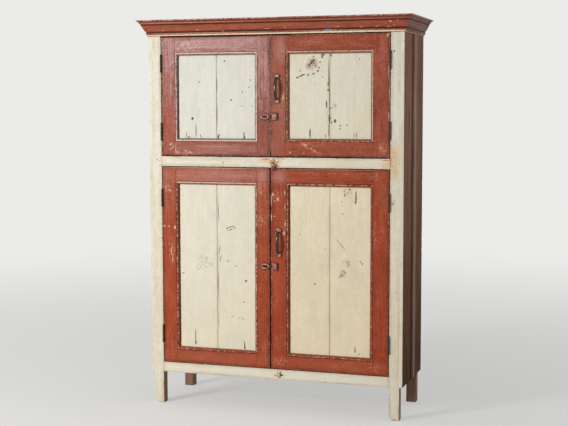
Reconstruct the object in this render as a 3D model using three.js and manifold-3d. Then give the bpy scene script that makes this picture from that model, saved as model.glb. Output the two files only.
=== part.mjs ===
// A painted country jelly cupboard with two pairs of framed doors, one above the other.
// Units are millimetres and +Z is up. The front looks along -Y, and the origin lies on
// the floor under the middle of the cupboard.
import * as THREE from 'three';
import { mergeVertices } from 'three/addons/utils/BufferGeometryUtils.js';
import Module from 'manifold-3d';

const wasm = await Module();
wasm.setup();

// Carcass
const overallHeight = 1920;
const bodyWidth = 1294; // across the outsides of the side boards
const bodyDepth = 436; // from the post fronts to the back boards
const postWidth = 50;
const postDepth = 45;
const sideBoardThickness = 15;
const frontSideBoardWidth = 190;
const boardJointGap = 2; // the open joint between dried-out boards
const legHeight = 161; // floor to the bottom rails
const railHeight = 50;
const frontRailDepth = 40;
const backRailDepth = 24;
const lowerDoorwayHeight = 990;
const tenonLength = 30;
const tenonThickness = 12;
const tenonShoulder = 7;
const seamGap = 0.3; // glue-line clearance between wooden pieces that meet

// Boards inside, on top and at the back
const shelfThickness = 18;
const shelfFrontSetback = 30; // keeps the shelves behind the closed doors
const topBoardThickness = 16;
const backBoardThickness = 12;
const backPlankCount = 6;
const topPlankCount = 3;
const plankGrooveWidth = 2;
const plankGrooveDepth = 3;
const upperShelfShares = [0.5]; // heights of the shelf in the upper compartment
const lowerShelfShares = [0.345, 0.68]; // heights of the shelves in the lower one

// Cornice
const corniceHeight = 79;
const corniceProjection = 46; // to the front
const corniceSideProjection = 48;
// Outline points: how far out, then how far up, as shares of the projection and the height.
const corniceOutlineShares = [
  [0.09, 0], [0.09, 0.15], [0.15, 0.165], [0.175, 0.23], [0.15, 0.29], [0.13, 0.31],
  [0.22, 0.33], [0.38, 0.43], [0.5, 0.56], [0.6, 0.69], [0.58, 0.715], [0.69, 0.73],
  [0.78, 0.78], [0.81, 0.845], [0.9, 0.87], [0.98, 0.91], [1, 1],
];

// Doors
const doorThickness = 26;
const meetingLineOffset = 12.5; // the doors meet this far left of the middle
const doorEdgeGap = 3; // above and below a door
const saggedDoorGap = 5; // below the upper right door
const mouldingWidth = 13;
const mouldingDepth = 12;
const quirkWidth = 2;
const quirkDepth = 1.6;
const mouldingSteps = 5;
const panelThickness = 8;
const panelGrooveDepth = 9;
const panelTuck = 7; // how far a panel board reaches into the groove
const panelJointGap = 0.8;
const backLipInset = 2;
const doorSides = {
  left: { hingeStile: 71, meetingStile: 64 },
  right: { hingeStile: 78, meetingStile: 79 },
};
const doorRows = {
  upper: { topRail: 77, bottomRail: 71, meetingGap: 2 },
  lower: { topRail: 71, bottomRail: 66, meetingGap: 6.5 },
};

// Butt hinges
const hingeHeight = 89;
const leafThickness = 1.2;
const leafDepth = 21;
const leafClearance = 0.4;
const knuckleRadius = 4.2;
const knuckleCount = 5;
const knuckleClearance = 0.4;
const hingePinRadius = 1.7;
const roundSides = 12;
// How far each hinge's middle lies from the door's top or bottom edge, as a share of its height.
const hingeInsetShares = {
  upper: { left: { top: 0.223, bottom: 0.202 }, right: { top: 0.215, bottom: 0.215 } },
  lower: { left: { top: 0.158, bottom: 0.146 }, right: { top: 0.156, bottom: 0.153 } },
};

// Iron pull handles on the right-hand doors
const handlePlates = { width: 36, height: 23, thickness: 2.4, spacing: 120 };
const handleBow = { reach: 27, halfWidth: 7.4, halfThickness: 3.6, steps: 22, sides: 10 };
const bowFullness = 0.78; // below 1 the bow is squarer than a half round
const bowEndShare = 0.62; // the thickness of the bow's ends against its middle
const handleFromMeetingLine = { upper: 35, lower: 44 };

// Hasp and staple latches across the meeting stiles
const haspPlate = { width: 33, height: 38, thickness: 1.8 };
const haspStrap = { thickness: 2, neckHeight: 18, rootLength: 22, rootHeight: 32 };
const haspEye = { width: 46, height: 31, slotWidth: 25, slotHeight: 7 };
const haspKnuckle = { radius: 3.1, pinRadius: 1.4, middleHeight: 13, clearance: 0.3 };
const haspReach = 64; // knuckle to the middle of the slot
const staplePlate = { width: 38, height: 23, thickness: 1.8 };
const stapleLoop = { radius: 2, legSpacing: 17, reach: 17, steps: 14, sides: 8 };
const latchFromMeetingLine = 38;
// The door height that latch and handle leave spare, shared out below the latch and between them.
const spareHeightShares = {
  upper: { belowLatch: 0.432, latchToHandle: 0.108 },
  lower: { belowLatch: 0.605, latchToHandle: 0.034 },
};

// The bent nail driven into the bottom rail
const bentNail = { radius: 2.2, buried: 24, standOff: 11, rise: 36, sides: 8, steps: 12 };
const bentNailPlace = { fromMeetingLine: 41, aboveRailBottom: 12 };
const nailHoleClearance = 0.3;
const cutOverrun = 5;

const colours = {
  cream: new THREE.MeshStandardMaterial({ color: 0xdcd2b4, roughness: 0.62, metalness: 0 }),
  panel: new THREE.MeshStandardMaterial({ color: 0xdfd9c0, roughness: 0.6, metalness: 0 }),
  red: new THREE.MeshStandardMaterial({ color: 0x9c4a35, roughness: 0.55, metalness: 0 }),
  brown: new THREE.MeshStandardMaterial({ color: 0x594338, roughness: 0.7, metalness: 0 }),
  bare: new THREE.MeshStandardMaterial({ color: 0x8a6f52, roughness: 0.85, metalness: 0 }),
  iron: new THREE.MeshStandardMaterial({ color: 0x2f2624, roughness: 0.5, metalness: 0.8 }),
  steel: new THREE.MeshStandardMaterial({ color: 0xb4b6b4, roughness: 0.35, metalness: 1 }),
};

// Everything below hangs on this group, whose y = 0 is the plane of the post fronts.
const cupboard = new THREE.Group();
const carcass = new THREE.Group();
carcass.position.y = (corniceProjection - bodyDepth) / 2;
cupboard.add(carcass);

const halfBody = bodyWidth / 2;
const postOuter = halfBody - sideBoardThickness;
const postInner = postOuter - postWidth;
const lowerRailTop = legHeight + railHeight;
const middleRailBottom = lowerRailTop + lowerDoorwayHeight;
const middleRailTop = middleRailBottom + railHeight;
const corniceBottom = overallHeight - corniceHeight;
const carcassTop = overallHeight - topBoardThickness;
const doorways = {
  upper: [middleRailTop, corniceBottom],
  lower: [lowerRailTop, middleRailBottom],
};
const backBoardFront = bodyDepth - backBoardThickness;
const leafGap = 2 * (seamGap + leafThickness) + leafClearance; // from door edge to post
const nailX = bentNailPlace.fromMeetingLine - meetingLineOffset;
const nailZ = legHeight + bentNailPlace.aboveRailBottom;

// Shape helpers

// A plain block between two planes on each axis.
function block([x0, x1], [y0, y1], [z0, z1]) {
  const geometry = new THREE.BoxGeometry(x1 - x0, y1 - y0, z1 - z0);
  return geometry.translate((x0 + x1) / 2, (y0 + y1) / 2, (z0 + z1) / 2);
}

function toSolid(geometry) {
  const bare = geometry.clone();
  bare.deleteAttribute('normal');
  bare.deleteAttribute('uv');
  const merged = mergeVertices(bare);
  const vertProperties = new Float32Array(merged.attributes.position.array);
  const triVerts = new Uint32Array(merged.index.array);
  return new wasm.Manifold(new wasm.Mesh({ numProp: 3, vertProperties, triVerts }));
}

function fromSolid(solid) {
  const mesh = solid.getMesh();
  const geometry = new THREE.BufferGeometry();
  geometry.setAttribute('position', new THREE.BufferAttribute(new Float32Array(mesh.vertProperties), 3));
  geometry.setIndex(new THREE.BufferAttribute(new Uint32Array(mesh.triVerts), 1));
  geometry.computeVertexNormals();
  return geometry;
}

function join(...geometries) {
  return fromSolid(geometries.map(toSolid).reduce((whole, piece) => whole.add(piece)));
}

function cut(geometry, ...tools) {
  return fromSolid(tools.map(toSolid).reduce((rest, tool) => rest.subtract(tool), toSolid(geometry)));
}

function signedVolume(positions, indices) {
  let sum = 0;
  const corner = (index) => new THREE.Vector3().fromArray(positions, 3 * index);
  for (let i = 0; i < indices.length; i += 3) {
    const [a, b, c] = [corner(indices[i]), corner(indices[i + 1]), corner(indices[i + 2])];
    sum += a.dot(b.cross(c));
  }
  return sum;
}

// Carries a flat outline through a list of stations and skins it. A station turns an outline
// point into a place in space. A looped loft joins its last station to its first.
function loft(outline, stations, looped = false) {
  const count = outline.length;
  const positions = stations.flatMap((station) => outline.flatMap((point) => station(point).toArray()));
  const indices = [];
  const bands = looped ? stations.length : stations.length - 1;
  for (let band = 0; band < bands; band += 1) {
    const here = band * count;
    const there = ((band + 1) % stations.length) * count;
    for (let i = 0; i < count; i += 1) {
      const j = (i + 1) % count;
      indices.push(here + i, here + j, there + j, here + i, there + j, there + i);
    }
  }
  if (!looped) {
    const last = (stations.length - 1) * count;
    for (const [a, b, c] of THREE.ShapeUtils.triangulateShape(outline, [])) {
      indices.push(a, c, b, last + a, last + b, last + c);
    }
  }
  if (signedVolume(positions, indices) < 0) indices.reverse();
  const geometry = new THREE.BufferGeometry();
  geometry.setAttribute('position', new THREE.Float32BufferAttribute(positions, 3));
  geometry.setIndex(indices);
  geometry.computeVertexNormals();
  return geometry;
}

// An upright round bar or knuckle at (x, y).
function upright(radius, [x, y], [z0, z1]) {
  const geometry = new THREE.CylinderGeometry(radius, radius, z1 - z0, roundSides);
  return geometry.rotateX(Math.PI / 2).translate(x, y, (z0 + z1) / 2);
}

// A flat plate cut to a shape drawn in the plane of the doors, between two depths.
function plate(shape, [y0, y1], curveSegments = roundSides) {
  const geometry = new THREE.ExtrudeGeometry(shape, {
    depth: y1 - y0, bevelEnabled: false, curveSegments,
  });
  return geometry.rotateX(Math.PI / 2).translate(0, y1, 0);
}

function oval(x, z, width, height) {
  return new THREE.Shape().absellipse(x, z, width / 2, height / 2, 0, 2 * Math.PI);
}

// Gives a piece its own origin at its middle and hangs it in its group.
function addPiece(parent, name, geometry, material) {
  geometry.computeBoundingBox();
  const middle = geometry.boundingBox.getCenter(new THREE.Vector3());
  geometry.translate(-middle.x, -middle.y, -middle.z);
  const mesh = new THREE.Mesh(geometry, material);
  mesh.name = name;
  mesh.position.copy(middle);
  parent.add(mesh);
  return mesh;
}

// Posts, with mortises for the rails

const railLevels = { bottom: legHeight, middle: middleRailBottom, top: corniceBottom };
const rails = {
  front: { levels: ['bottom', 'middle', 'top'], span: [0, frontRailDepth] },
  back: { levels: ['bottom', 'top'], span: [backBoardFront - backRailDepth, backBoardFront] },
};

// The tenon of a rail, made larger on every side by a clearance to cut its mortise.
function tenon(side, rail, level, clearance = 0) {
  const [front, back] = rails[rail].span;
  const middle = (front + back) / 2;
  const halfThickness = tenonThickness / 2 + clearance;
  const root = side * (postInner - clearance - tenonShoulder);
  const tip = side * (postInner + tenonLength + clearance);
  const bottom = railLevels[level] + tenonShoulder - clearance;
  const top = railLevels[level] + railHeight - tenonShoulder + clearance;
  return block([Math.min(root, tip), Math.max(root, tip)],
    [middle - halfThickness, middle + halfThickness], [bottom, top]);
}

for (const [rail, { levels, span }] of Object.entries(rails)) {
  const postSpan = rail === 'front' ? [0, postDepth] : [bodyDepth - postDepth, bodyDepth];
  for (const [sideName, side] of [['left', -1], ['right', 1]]) {
    const edges = [side * postInner, side * postOuter].sort((a, b) => a - b);
    const post = block(edges, postSpan, [0, carcassTop - seamGap]);
    const mortises = levels.map((level) => tenon(side, rail, level, seamGap));
    addPiece(carcass, `${rail}_${sideName}_post`, cut(post, ...mortises), colours.cream);
  }
  for (const level of levels) {
    const reach = postInner - seamGap;
    const bar = block([-reach, reach], span, [railLevels[level], railLevels[level] + railHeight]);
    let shape = join(bar, tenon(-1, rail, level), tenon(1, rail, level));
    if (rail === 'front' && level === 'bottom') shape = cut(shape, bentNailHole());
    addPiece(carcass, `${rail}_${level}_rail`, shape, rail === 'front' ? colours.cream : colours.bare);
  }
}

// Side, back and top boards

for (const [sideName, side] of [['left', -1], ['right', 1]]) {
  const faces = [side * (postOuter + seamGap), side * halfBody].sort((a, b) => a - b);
  const height = [legHeight, carcassTop - seamGap];
  const joint = frontSideBoardWidth;
  addPiece(carcass, `${sideName}_side_front_board`, block(faces, [0, joint], height), colours.brown);
  addPiece(carcass, `${sideName}_side_back_board`,
    block(faces, [joint + boardJointGap, bodyDepth], height), colours.brown);
}

// Grooves on both faces of a wide board, where its planks meet.
function plankGrooves(count, [low, high], groove) {
  const pitch = (high - low) / count;
  const grooves = [];
  for (let i = 1; i < count; i += 1) {
    const middle = low + i * pitch;
    grooves.push(...groove([middle - plankGrooveWidth / 2, middle + plankGrooveWidth / 2]));
  }
  return grooves;
}

const backSpan = [-(postInner - seamGap), postInner - seamGap];
const backHeight = [legHeight, carcassTop - seamGap];
const backFaces = [backBoardFront + seamGap, bodyDepth];
const backGrooves = plankGrooves(backPlankCount, backSpan, (across) => [
  block(across, [backFaces[0] - cutOverrun, backFaces[0] + plankGrooveDepth],
    [backHeight[0] - cutOverrun, backHeight[1] + cutOverrun]),
  block(across, [backFaces[1] - plankGrooveDepth, backFaces[1] + cutOverrun],
    [backHeight[0] - cutOverrun, backHeight[1] + cutOverrun]),
]);
addPiece(carcass, 'back_boards', cut(block(backSpan, backFaces, backHeight), ...backGrooves), colours.bare);

const topSpan = [-halfBody, halfBody];
const topDepth = [0, bodyDepth];
const topFaces = [carcassTop, overallHeight];
const topGrooves = plankGrooves(topPlankCount, topDepth, (along) => [
  block([topSpan[0] - cutOverrun, topSpan[1] + cutOverrun], along,
    [topFaces[0] - cutOverrun, topFaces[0] + plankGrooveDepth]),
  block([topSpan[0] - cutOverrun, topSpan[1] + cutOverrun], along,
    [topFaces[1] - plankGrooveDepth, topFaces[1] + cutOverrun]),
]);
addPiece(carcass, 'top_board', cut(block(topSpan, topDepth, topFaces), ...topGrooves), colours.bare);

// Shelves, notched round the posts

function addShelf(name, bottom) {
  const reach = postOuter - seamGap;
  const back = backBoardFront - seamGap;
  const height = [bottom, bottom + shelfThickness];
  const board = block([-reach, reach], [shelfFrontSetback, back], height);
  const notchHeight = [bottom - cutOverrun, bottom + shelfThickness + cutOverrun];
  const notchInner = postInner - seamGap;
  const notches = [-1, 1].flatMap((side) => {
    const across = [side * notchInner, side * (postOuter + cutOverrun)].sort((a, b) => a - b);
    return [
      block(across, [shelfFrontSetback - cutOverrun, postDepth + seamGap], notchHeight),
      block(across, [bodyDepth - postDepth - seamGap, back + cutOverrun], notchHeight),
    ];
  });
  addPiece(carcass, name, cut(board, ...notches), colours.bare);
}

addShelf('bottom_board', lowerRailTop + seamGap);
addShelf('middle_board', middleRailTop + seamGap);
upperShelfShares.forEach((share) => {
  addShelf('upper_shelf', middleRailTop + share * (corniceBottom - middleRailTop));
});
lowerShelfShares.forEach((share, index) => {
  addShelf(`lower_shelf_${index + 1}`, lowerRailTop + share * lowerDoorwayHeight);
});

// Cornice, mitred at the front corners

const cornicePoints = [[0, 0], ...corniceOutlineShares, [0, 1]]
  .map(([out, up]) => new THREE.Vector2(out, up));
const corniceOut = (out, projection) => seamGap + out * (projection - seamGap);
const corniceUp = (up) => corniceBottom + up * corniceHeight;

// One end of a length of cornice, on the given side, cut off at a depth that may follow the
// outline, as a mitre does.
function corniceEnd(side, depthAt) {
  const across = (out) => side * (halfBody + corniceOut(out, corniceSideProjection));
  return ({ x, y }) => new THREE.Vector3(across(x), depthAt(x), corniceUp(y));
}

const frontMitre = (out) => -corniceOut(out, corniceProjection);
addPiece(carcass, 'front_cornice',
  loft(cornicePoints, [corniceEnd(-1, frontMitre), corniceEnd(1, frontMitre)]), colours.red);
for (const [sideName, side] of [['left', -1], ['right', 1]]) {
  const mitre = corniceEnd(side, (out) => frontMitre(out) + seamGap);
  const squareEnd = corniceEnd(side, () => bodyDepth);
  addPiece(carcass, `${sideName}_cornice`, loft(cornicePoints, [mitre, squareEnd]), colours.brown);
}

// Doors. Each door hangs in its own group, whose origin is the hinge axis at the door's
// bottom edge. In that group the door lies from the axis towards the meeting line.

const hingeAxisX = postInner - leafGap / 2;
const hingeAxisY = -(knuckleRadius + knuckleClearance);

// The moulded and grooved section of a door frame. Points at the outer edge are measured
// from there, and the others from the edge of the opening, inwards and then backwards.
function frameSection() {
  const point = (edge, inset, depth) => Object.assign(new THREE.Vector2(inset, depth), { edge });
  const grooveBack = mouldingDepth + panelThickness + 2 * seamGap;
  const section = [
    point('outer', 0, 0),
    point('opening', -mouldingWidth, 0),
    point('opening', -mouldingWidth + quirkWidth / 2, quirkDepth),
    point('opening', -mouldingWidth + quirkWidth, quirkDepth),
  ];
  const roundWidth = mouldingWidth - quirkWidth;
  for (let step = 0; step <= mouldingSteps; step += 1) {
    const angle = (step / mouldingSteps) * (Math.PI / 2);
    const depth = quirkDepth / 2 + (mouldingDepth - quirkDepth / 2) * (1 - Math.cos(angle));
    section.push(point('opening', roundWidth * (Math.sin(angle) - 1), depth));
  }
  section.push(
    point('opening', -panelGrooveDepth, mouldingDepth),
    point('opening', -panelGrooveDepth, grooveBack),
    point('opening', -backLipInset, grooveBack),
    point('opening', -backLipInset, doorThickness),
    point('outer', 0, doorThickness),
  );
  return section;
}

// Skins the section round the four corners of the frame.
function doorFrame(outer, opening) {
  const corners = [[0, 0, 1, 1], [1, 0, -1, 1], [1, 1, -1, -1], [0, 1, 1, -1]];
  const stations = corners.map(([xEnd, zEnd, xWay, zWay]) => (point) => {
    const base = point.edge === 'outer' ? outer : opening;
    return new THREE.Vector3(base.x[xEnd] + xWay * point.x, point.y, base.z[zEnd] + zWay * point.x);
  });
  return loft(frameSection(), stations, true);
}

// Both leaves of one butt hinge, about an axis at x = 0 and y = 0. The door lies on the
// side that towardsDoor gives, and every second knuckle is the door leaf's.
function hingeLeaves(towardsDoor, middle) {
  const bottom = middle - hingeHeight / 2;
  const pitch = hingeHeight / knuckleCount;
  const plateFront = -hingeAxisY + leafClearance;
  const leafSpan = (way) => {
    const near = way * (leafClearance / 2);
    const far = way * (leafClearance / 2 + leafThickness);
    return [Math.min(near, far), Math.max(near, far)];
  };
  const top = bottom + hingeHeight;
  const leaf = (way, first) => {
    const pieces = [block(leafSpan(way), [plateFront, plateFront + leafDepth], [bottom, top])];
    for (let i = first; i < knuckleCount; i += 2) {
      const low = bottom + i * pitch + knuckleClearance / 2;
      const span = [low, low + pitch - knuckleClearance];
      const bend = block(leafSpan(way), [0, plateFront + leafClearance], span);
      pieces.push(bend, upright(knuckleRadius, [0, 0], span));
    }
    return pieces;
  };
  const pinSpan = [bottom + knuckleClearance, top - knuckleClearance];
  const bore = upright(hingePinRadius + knuckleClearance, [0, 0], [bottom - cutOverrun, top + cutOverrun]);
  return {
    frameLeaf: join(...leaf(-towardsDoor, 0), upright(hingePinRadius, [0, 0], pinSpan)),
    doorLeaf: cut(join(...leaf(towardsDoor, 1)), bore),
  };
}

function pullHandle() {
  const { width, height, thickness, spacing } = handlePlates;
  const { reach, halfWidth, halfThickness, steps, sides } = handleBow;
  const plateFaces = [-seamGap - thickness, -seamGap];
  const plates = [-1, 1].map((end) => (
    plate(oval(0, (end * spacing) / 2, width, height), plateFaces, 2 * roundSides)));
  const section = [];
  for (let i = 0; i < sides; i += 1) {
    const angle = (2 * Math.PI * i) / sides;
    section.push(new THREE.Vector2(Math.cos(angle), Math.sin(angle)));
  }
  const bend = (value) => Math.sign(value) * Math.abs(value) ** bowFullness;
  const along = (angle) => new THREE.Vector3(
    0, -seamGap - thickness / 2 - reach * bend(Math.cos(angle)), (spacing / 2) * bend(Math.sin(angle)));
  const small = Math.PI / (steps * steps);
  const stations = [];
  for (let step = 0; step <= steps; step += 1) {
    const angle = Math.PI * (step / steps - 1 / 2) * (1 - small);
    const centre = along(angle);
    const ahead = along(angle + small).sub(along(angle - small)).normalize();
    const outward = new THREE.Vector3(0, -ahead.z, ahead.y);
    const swell = bowEndShare + (1 - bowEndShare) * Math.cos(angle);
    stations.push(({ x, y }) => new THREE.Vector3(x * halfWidth * swell, 0, 0)
      .add(centre).addScaledVector(outward, y * halfThickness * swell));
  }
  return join(...plates, loft(section, stations));
}

// The latch pieces are drawn about the hasp's knuckle, at x = 0, y = 0 and z = 0, with the
// door face at +y and the staple at -x.

const knuckleY = -(seamGap + haspKnuckle.radius);

function haspFixedPlate() {
  const { radius, pinRadius, middleHeight, clearance } = haspKnuckle;
  const faces = [-knuckleY - seamGap - haspPlate.thickness, -knuckleY - seamGap];
  const half = haspPlate.height / 2;
  const lugs = [-1, 1].flatMap((end) => {
    const span = [end * (middleHeight / 2 + clearance), end * half].sort((a, b) => a - b);
    return [upright(radius, [0, 0], span), block([-radius - clearance * 2, 0], faces, span)];
  });
  const base = block([-haspPlate.width, -radius - clearance], faces, [-half, half]);
  return join(base, ...lugs, upright(pinRadius, [0, 0], [-half, half]));
}

function haspMovingStrap() {
  const { radius, pinRadius, middleHeight, clearance } = haspKnuckle;
  const { thickness, neckHeight, rootLength, rootHeight } = haspStrap;
  const faces = [-thickness / 2, thickness / 2];
  const knuckle = [-middleHeight / 2, middleHeight / 2];
  const rootEdge = -radius - clearance * 2;
  const root = block([rootEdge - rootLength, rootEdge], faces, [-rootHeight / 2, rootHeight / 2]);
  const neck = block([-haspReach, rootEdge - rootLength / 2], faces, [-neckHeight / 2, neckHeight / 2]);
  const eye = plate(oval(-haspReach, 0, haspEye.width, haspEye.height), faces, 2 * roundSides);
  const web = block([rootEdge - clearance, 0], faces, knuckle);
  const slot = plate(oval(-haspReach, 0, haspEye.slotWidth, haspEye.slotHeight),
    [faces[0] - cutOverrun, faces[1] + cutOverrun]);
  const bore = upright(pinRadius + clearance, [0, 0], [knuckle[0] - cutOverrun, knuckle[1] + cutOverrun]);
  return cut(join(root, neck, eye, web, upright(radius, [0, 0], knuckle)), slot, bore);
}

function staple() {
  const { radius, legSpacing, reach, steps, sides } = stapleLoop;
  const faces = [-knuckleY - seamGap - staplePlate.thickness, -knuckleY - seamGap];
  const base = plate(oval(-haspReach, 0, staplePlate.width, staplePlate.height), faces, 2 * roundSides);
  const root = faces[0] + staplePlate.thickness / 2;
  const half = legSpacing / 2;
  const shoulder = root - reach + half;
  const crown = shoulder - half;
  const at = (across, depth) => new THREE.Vector3(across - haspReach, depth, 0);
  const route = new THREE.CurvePath();
  route.add(new THREE.LineCurve3(at(-half, root), at(-half, shoulder)));
  route.add(new THREE.QuadraticBezierCurve3(at(-half, shoulder), at(-half, crown), at(0, crown)));
  route.add(new THREE.QuadraticBezierCurve3(at(0, crown), at(half, crown), at(half, shoulder)));
  route.add(new THREE.LineCurve3(at(half, shoulder), at(half, root)));
  return join(base, rod(route, radius, steps, sides));
}

// A round bar along a route.
function rod(route, radius, steps, sides) {
  const section = new THREE.Shape().absarc(0, 0, radius, 0, 2 * Math.PI);
  return new THREE.ExtrudeGeometry(section, {
    steps, curveSegments: sides, extrudePath: route, bevelEnabled: false,
  });
}

function addDoor(rowName, sideName) {
  const row = doorRows[rowName];
  const side = sideName === 'left' ? -1 : 1;
  const stiles = doorSides[sideName];
  const sagged = rowName === 'upper' && sideName === 'right';
  const [doorwayBottom, doorwayTop] = doorways[rowName];
  const bottom = doorwayBottom + (sagged ? saggedDoorGap : doorEdgeGap);
  const height = doorwayTop - doorEdgeGap - bottom;
  const inward = -side; // from the hinge towards the meeting line
  const prefix = `${rowName}_${sideName}`;

  const door = new THREE.Group();
  door.position.set(side * hingeAxisX, hingeAxisY, bottom);
  carcass.add(door);
  const face = -hingeAxisY;
  const hingeEdge = leafGap / 2;
  const meetingLine = hingeAxisX + side * meetingLineOffset;
  const meetingEdge = meetingLine - row.meetingGap / 2;
  const across = (near, far) => [inward * near, inward * far].sort((a, b) => a - b);

  const openingNear = hingeEdge + stiles.hingeStile + mouldingWidth;
  const openingFar = meetingEdge - stiles.meetingStile - mouldingWidth;
  const openingBottom = row.bottomRail + mouldingWidth;
  const openingTop = height - row.topRail - mouldingWidth;
  const frame = doorFrame(
    { x: across(hingeEdge, meetingEdge), z: [0, height] },
    { x: across(openingNear, openingFar), z: [openingBottom, openingTop] },
  ).translate(0, face, 0);

  const panelFront = face + mouldingDepth + seamGap;
  const panelMiddle = (openingNear + openingFar) / 2;
  const plankSpans = {
    hinge: [openingNear - panelTuck, panelMiddle - panelJointGap / 2],
    meeting: [panelMiddle + panelJointGap / 2, openingFar + panelTuck],
  };
  addPiece(door, `${prefix}_door_frame`, frame, colours.red);
  for (const [edge, [near, far]] of Object.entries(plankSpans)) {
    const plank = block(across(near, far), [panelFront, panelFront + panelThickness],
      [openingBottom - panelTuck, openingTop + panelTuck]);
    addPiece(door, `${prefix}_panel_board_${edge}_side`, plank, colours.panel);
  }

  const insetShares = hingeInsetShares[rowName][sideName];
  const hingeMiddles = { top: height * (1 - insetShares.top), bottom: height * insetShares.bottom };
  for (const [place, middle] of Object.entries(hingeMiddles)) {
    const { frameLeaf, doorLeaf } = hingeLeaves(inward, middle);
    addPiece(door, `${prefix}_${place}_hinge_post_leaf`, frameLeaf, colours.iron);
    addPiece(door, `${prefix}_${place}_hinge_door_leaf`, doorLeaf, colours.iron);
  }
  return door;
}

for (const rowName of Object.keys(doorRows)) {
  const leftDoor = addDoor(rowName, 'left');
  const rightDoor = addDoor(rowName, 'right');
  const [doorwayBottom, doorwayTop] = doorways[rowName];
  const handleHeight = handlePlates.spacing + handlePlates.height;
  const spare = doorwayTop - doorwayBottom - 2 * doorEdgeGap - haspPlate.height - handleHeight;
  const shares = spareHeightShares[rowName];
  const latchBottom = doorwayBottom + doorEdgeGap + spare * shares.belowLatch;
  const latchMiddle = latchBottom + haspPlate.height / 2;
  const handleBottom = latchBottom + haspPlate.height + spare * shares.latchToHandle;
  const handleMiddle = handleBottom + handleHeight / 2;

  const hardwareOn = (door, fromMeetingLine, depth, height) => {
    const group = new THREE.Group();
    group.position.set(fromMeetingLine - meetingLineOffset, depth, height).sub(door.position);
    door.add(group);
    return group;
  };
  const handle = hardwareOn(rightDoor, handleFromMeetingLine[rowName], 0, handleMiddle);
  addPiece(handle, `${rowName}_pull_handle`, pullHandle(), colours.iron);
  const hasp = hardwareOn(rightDoor, latchFromMeetingLine, knuckleY, latchMiddle);
  addPiece(hasp, `${rowName}_hasp_fixed_plate`, haspFixedPlate(), colours.iron);
  addPiece(hasp, `${rowName}_hasp_strap`, haspMovingStrap(), colours.iron);
  const stapleMount = hardwareOn(leftDoor, latchFromMeetingLine, knuckleY, latchMiddle);
  addPiece(stapleMount, `${rowName}_staple`, staple(), colours.iron);
}

// The bent nail: driven into the rail, then turned up to stand in front of it.

function bentNailRoute() {
  const { standOff, rise, radius, buried } = bentNail;
  const at = (depth, up) => new THREE.Vector3(nailX, depth, nailZ + up);
  return new THREE.CatmullRomCurve3([
    at(buried, 0), at(0, 0), at(-standOff / 2, 0), at(-standOff, standOff / 2), at(-standOff - radius, rise),
  ]);
}

function bentNailHole() {
  const radius = bentNail.radius + nailHoleClearance;
  const depth = bentNail.buried + nailHoleClearance;
  const hole = new THREE.CylinderGeometry(radius, radius, depth + cutOverrun, 2 * bentNail.sides);
  return hole.translate(nailX, (depth - cutOverrun) / 2, nailZ);
}

addPiece(carcass, 'bent_nail',
  rod(bentNailRoute(), bentNail.radius, bentNail.steps, bentNail.sides), colours.steel);

export default cupboard;
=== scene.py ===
import math

import bpy
import numpy as np
from mathutils import Euler, Matrix, Vector


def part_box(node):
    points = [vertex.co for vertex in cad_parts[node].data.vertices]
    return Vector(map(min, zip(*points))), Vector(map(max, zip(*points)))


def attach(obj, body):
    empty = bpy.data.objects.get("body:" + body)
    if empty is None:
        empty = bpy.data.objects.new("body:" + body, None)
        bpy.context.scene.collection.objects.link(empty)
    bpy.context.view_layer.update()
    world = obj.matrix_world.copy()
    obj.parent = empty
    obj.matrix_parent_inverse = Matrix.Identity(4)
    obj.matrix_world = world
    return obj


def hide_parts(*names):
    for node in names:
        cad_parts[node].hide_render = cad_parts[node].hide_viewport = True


# Looks of an old painted country cupboard with two pairs of framed doors, made round its packed
# frame. The pieces are worked out in millimetres, +Z up and the front towards -Y.
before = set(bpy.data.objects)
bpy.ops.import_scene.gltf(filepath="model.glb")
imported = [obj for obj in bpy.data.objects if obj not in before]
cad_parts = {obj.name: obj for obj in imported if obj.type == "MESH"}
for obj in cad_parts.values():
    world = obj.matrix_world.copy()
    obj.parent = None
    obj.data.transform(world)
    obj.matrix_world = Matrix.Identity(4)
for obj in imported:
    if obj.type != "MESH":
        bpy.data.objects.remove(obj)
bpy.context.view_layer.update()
mm = 0.001
noiseTable = np.random.default_rng(1926).random((48, 48, 48))
luck = np.random.default_rng(38)

# ---- camera

cameraView = {"place": (1.8593, -5.7205, 1.5011), "turnLeft": 18.053, "lookDown": 5.1, "roll": -0.088, "lens": 76.41}


def makeCamera(view):
    data = bpy.data.cameras.new("camera")
    data.lens = view["lens"]
    data.sensor_width = 36
    turn = Euler((math.radians(90 - view["lookDown"]), 0, math.radians(view["turnLeft"]))).to_matrix()
    turn = turn @ Matrix.Rotation(math.radians(view["roll"]), 3, "Z")
    camera = bpy.data.objects.new("camera", data)
    camera.matrix_world = Matrix.LocRotScale(Vector(view["place"]), turn, None)
    bpy.context.scene.collection.objects.link(camera)
    bpy.context.scene.camera = camera


makeCamera(cameraView)
print("camera ready")

# ---- shapes


def nodeBox(node):  # lowest and highest corner of a CAD node, in millimetres
    return [np.array(corner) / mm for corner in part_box(node)]


def smoothNoise(points, size):
    # Random numbers on a lattice size mm apart, blended over each cell by 3t^2 - 2t^3, from -1 to 1.
    at = np.asarray(points, float) / size + 31.7
    cell = np.floor(at).astype(int)
    share = at - cell
    share = share * share * (3 - 2 * share)
    total = 0
    for corner in np.ndindex(2, 2, 2):
        weight = np.prod(np.where(np.array(corner) == 1, share, 1 - share), axis=-1)
        total = total + weight * noiseTable[tuple(np.moveaxis((cell + corner) % len(noiseTable), -1, 0))]
    return 2 * total - 1


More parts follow.
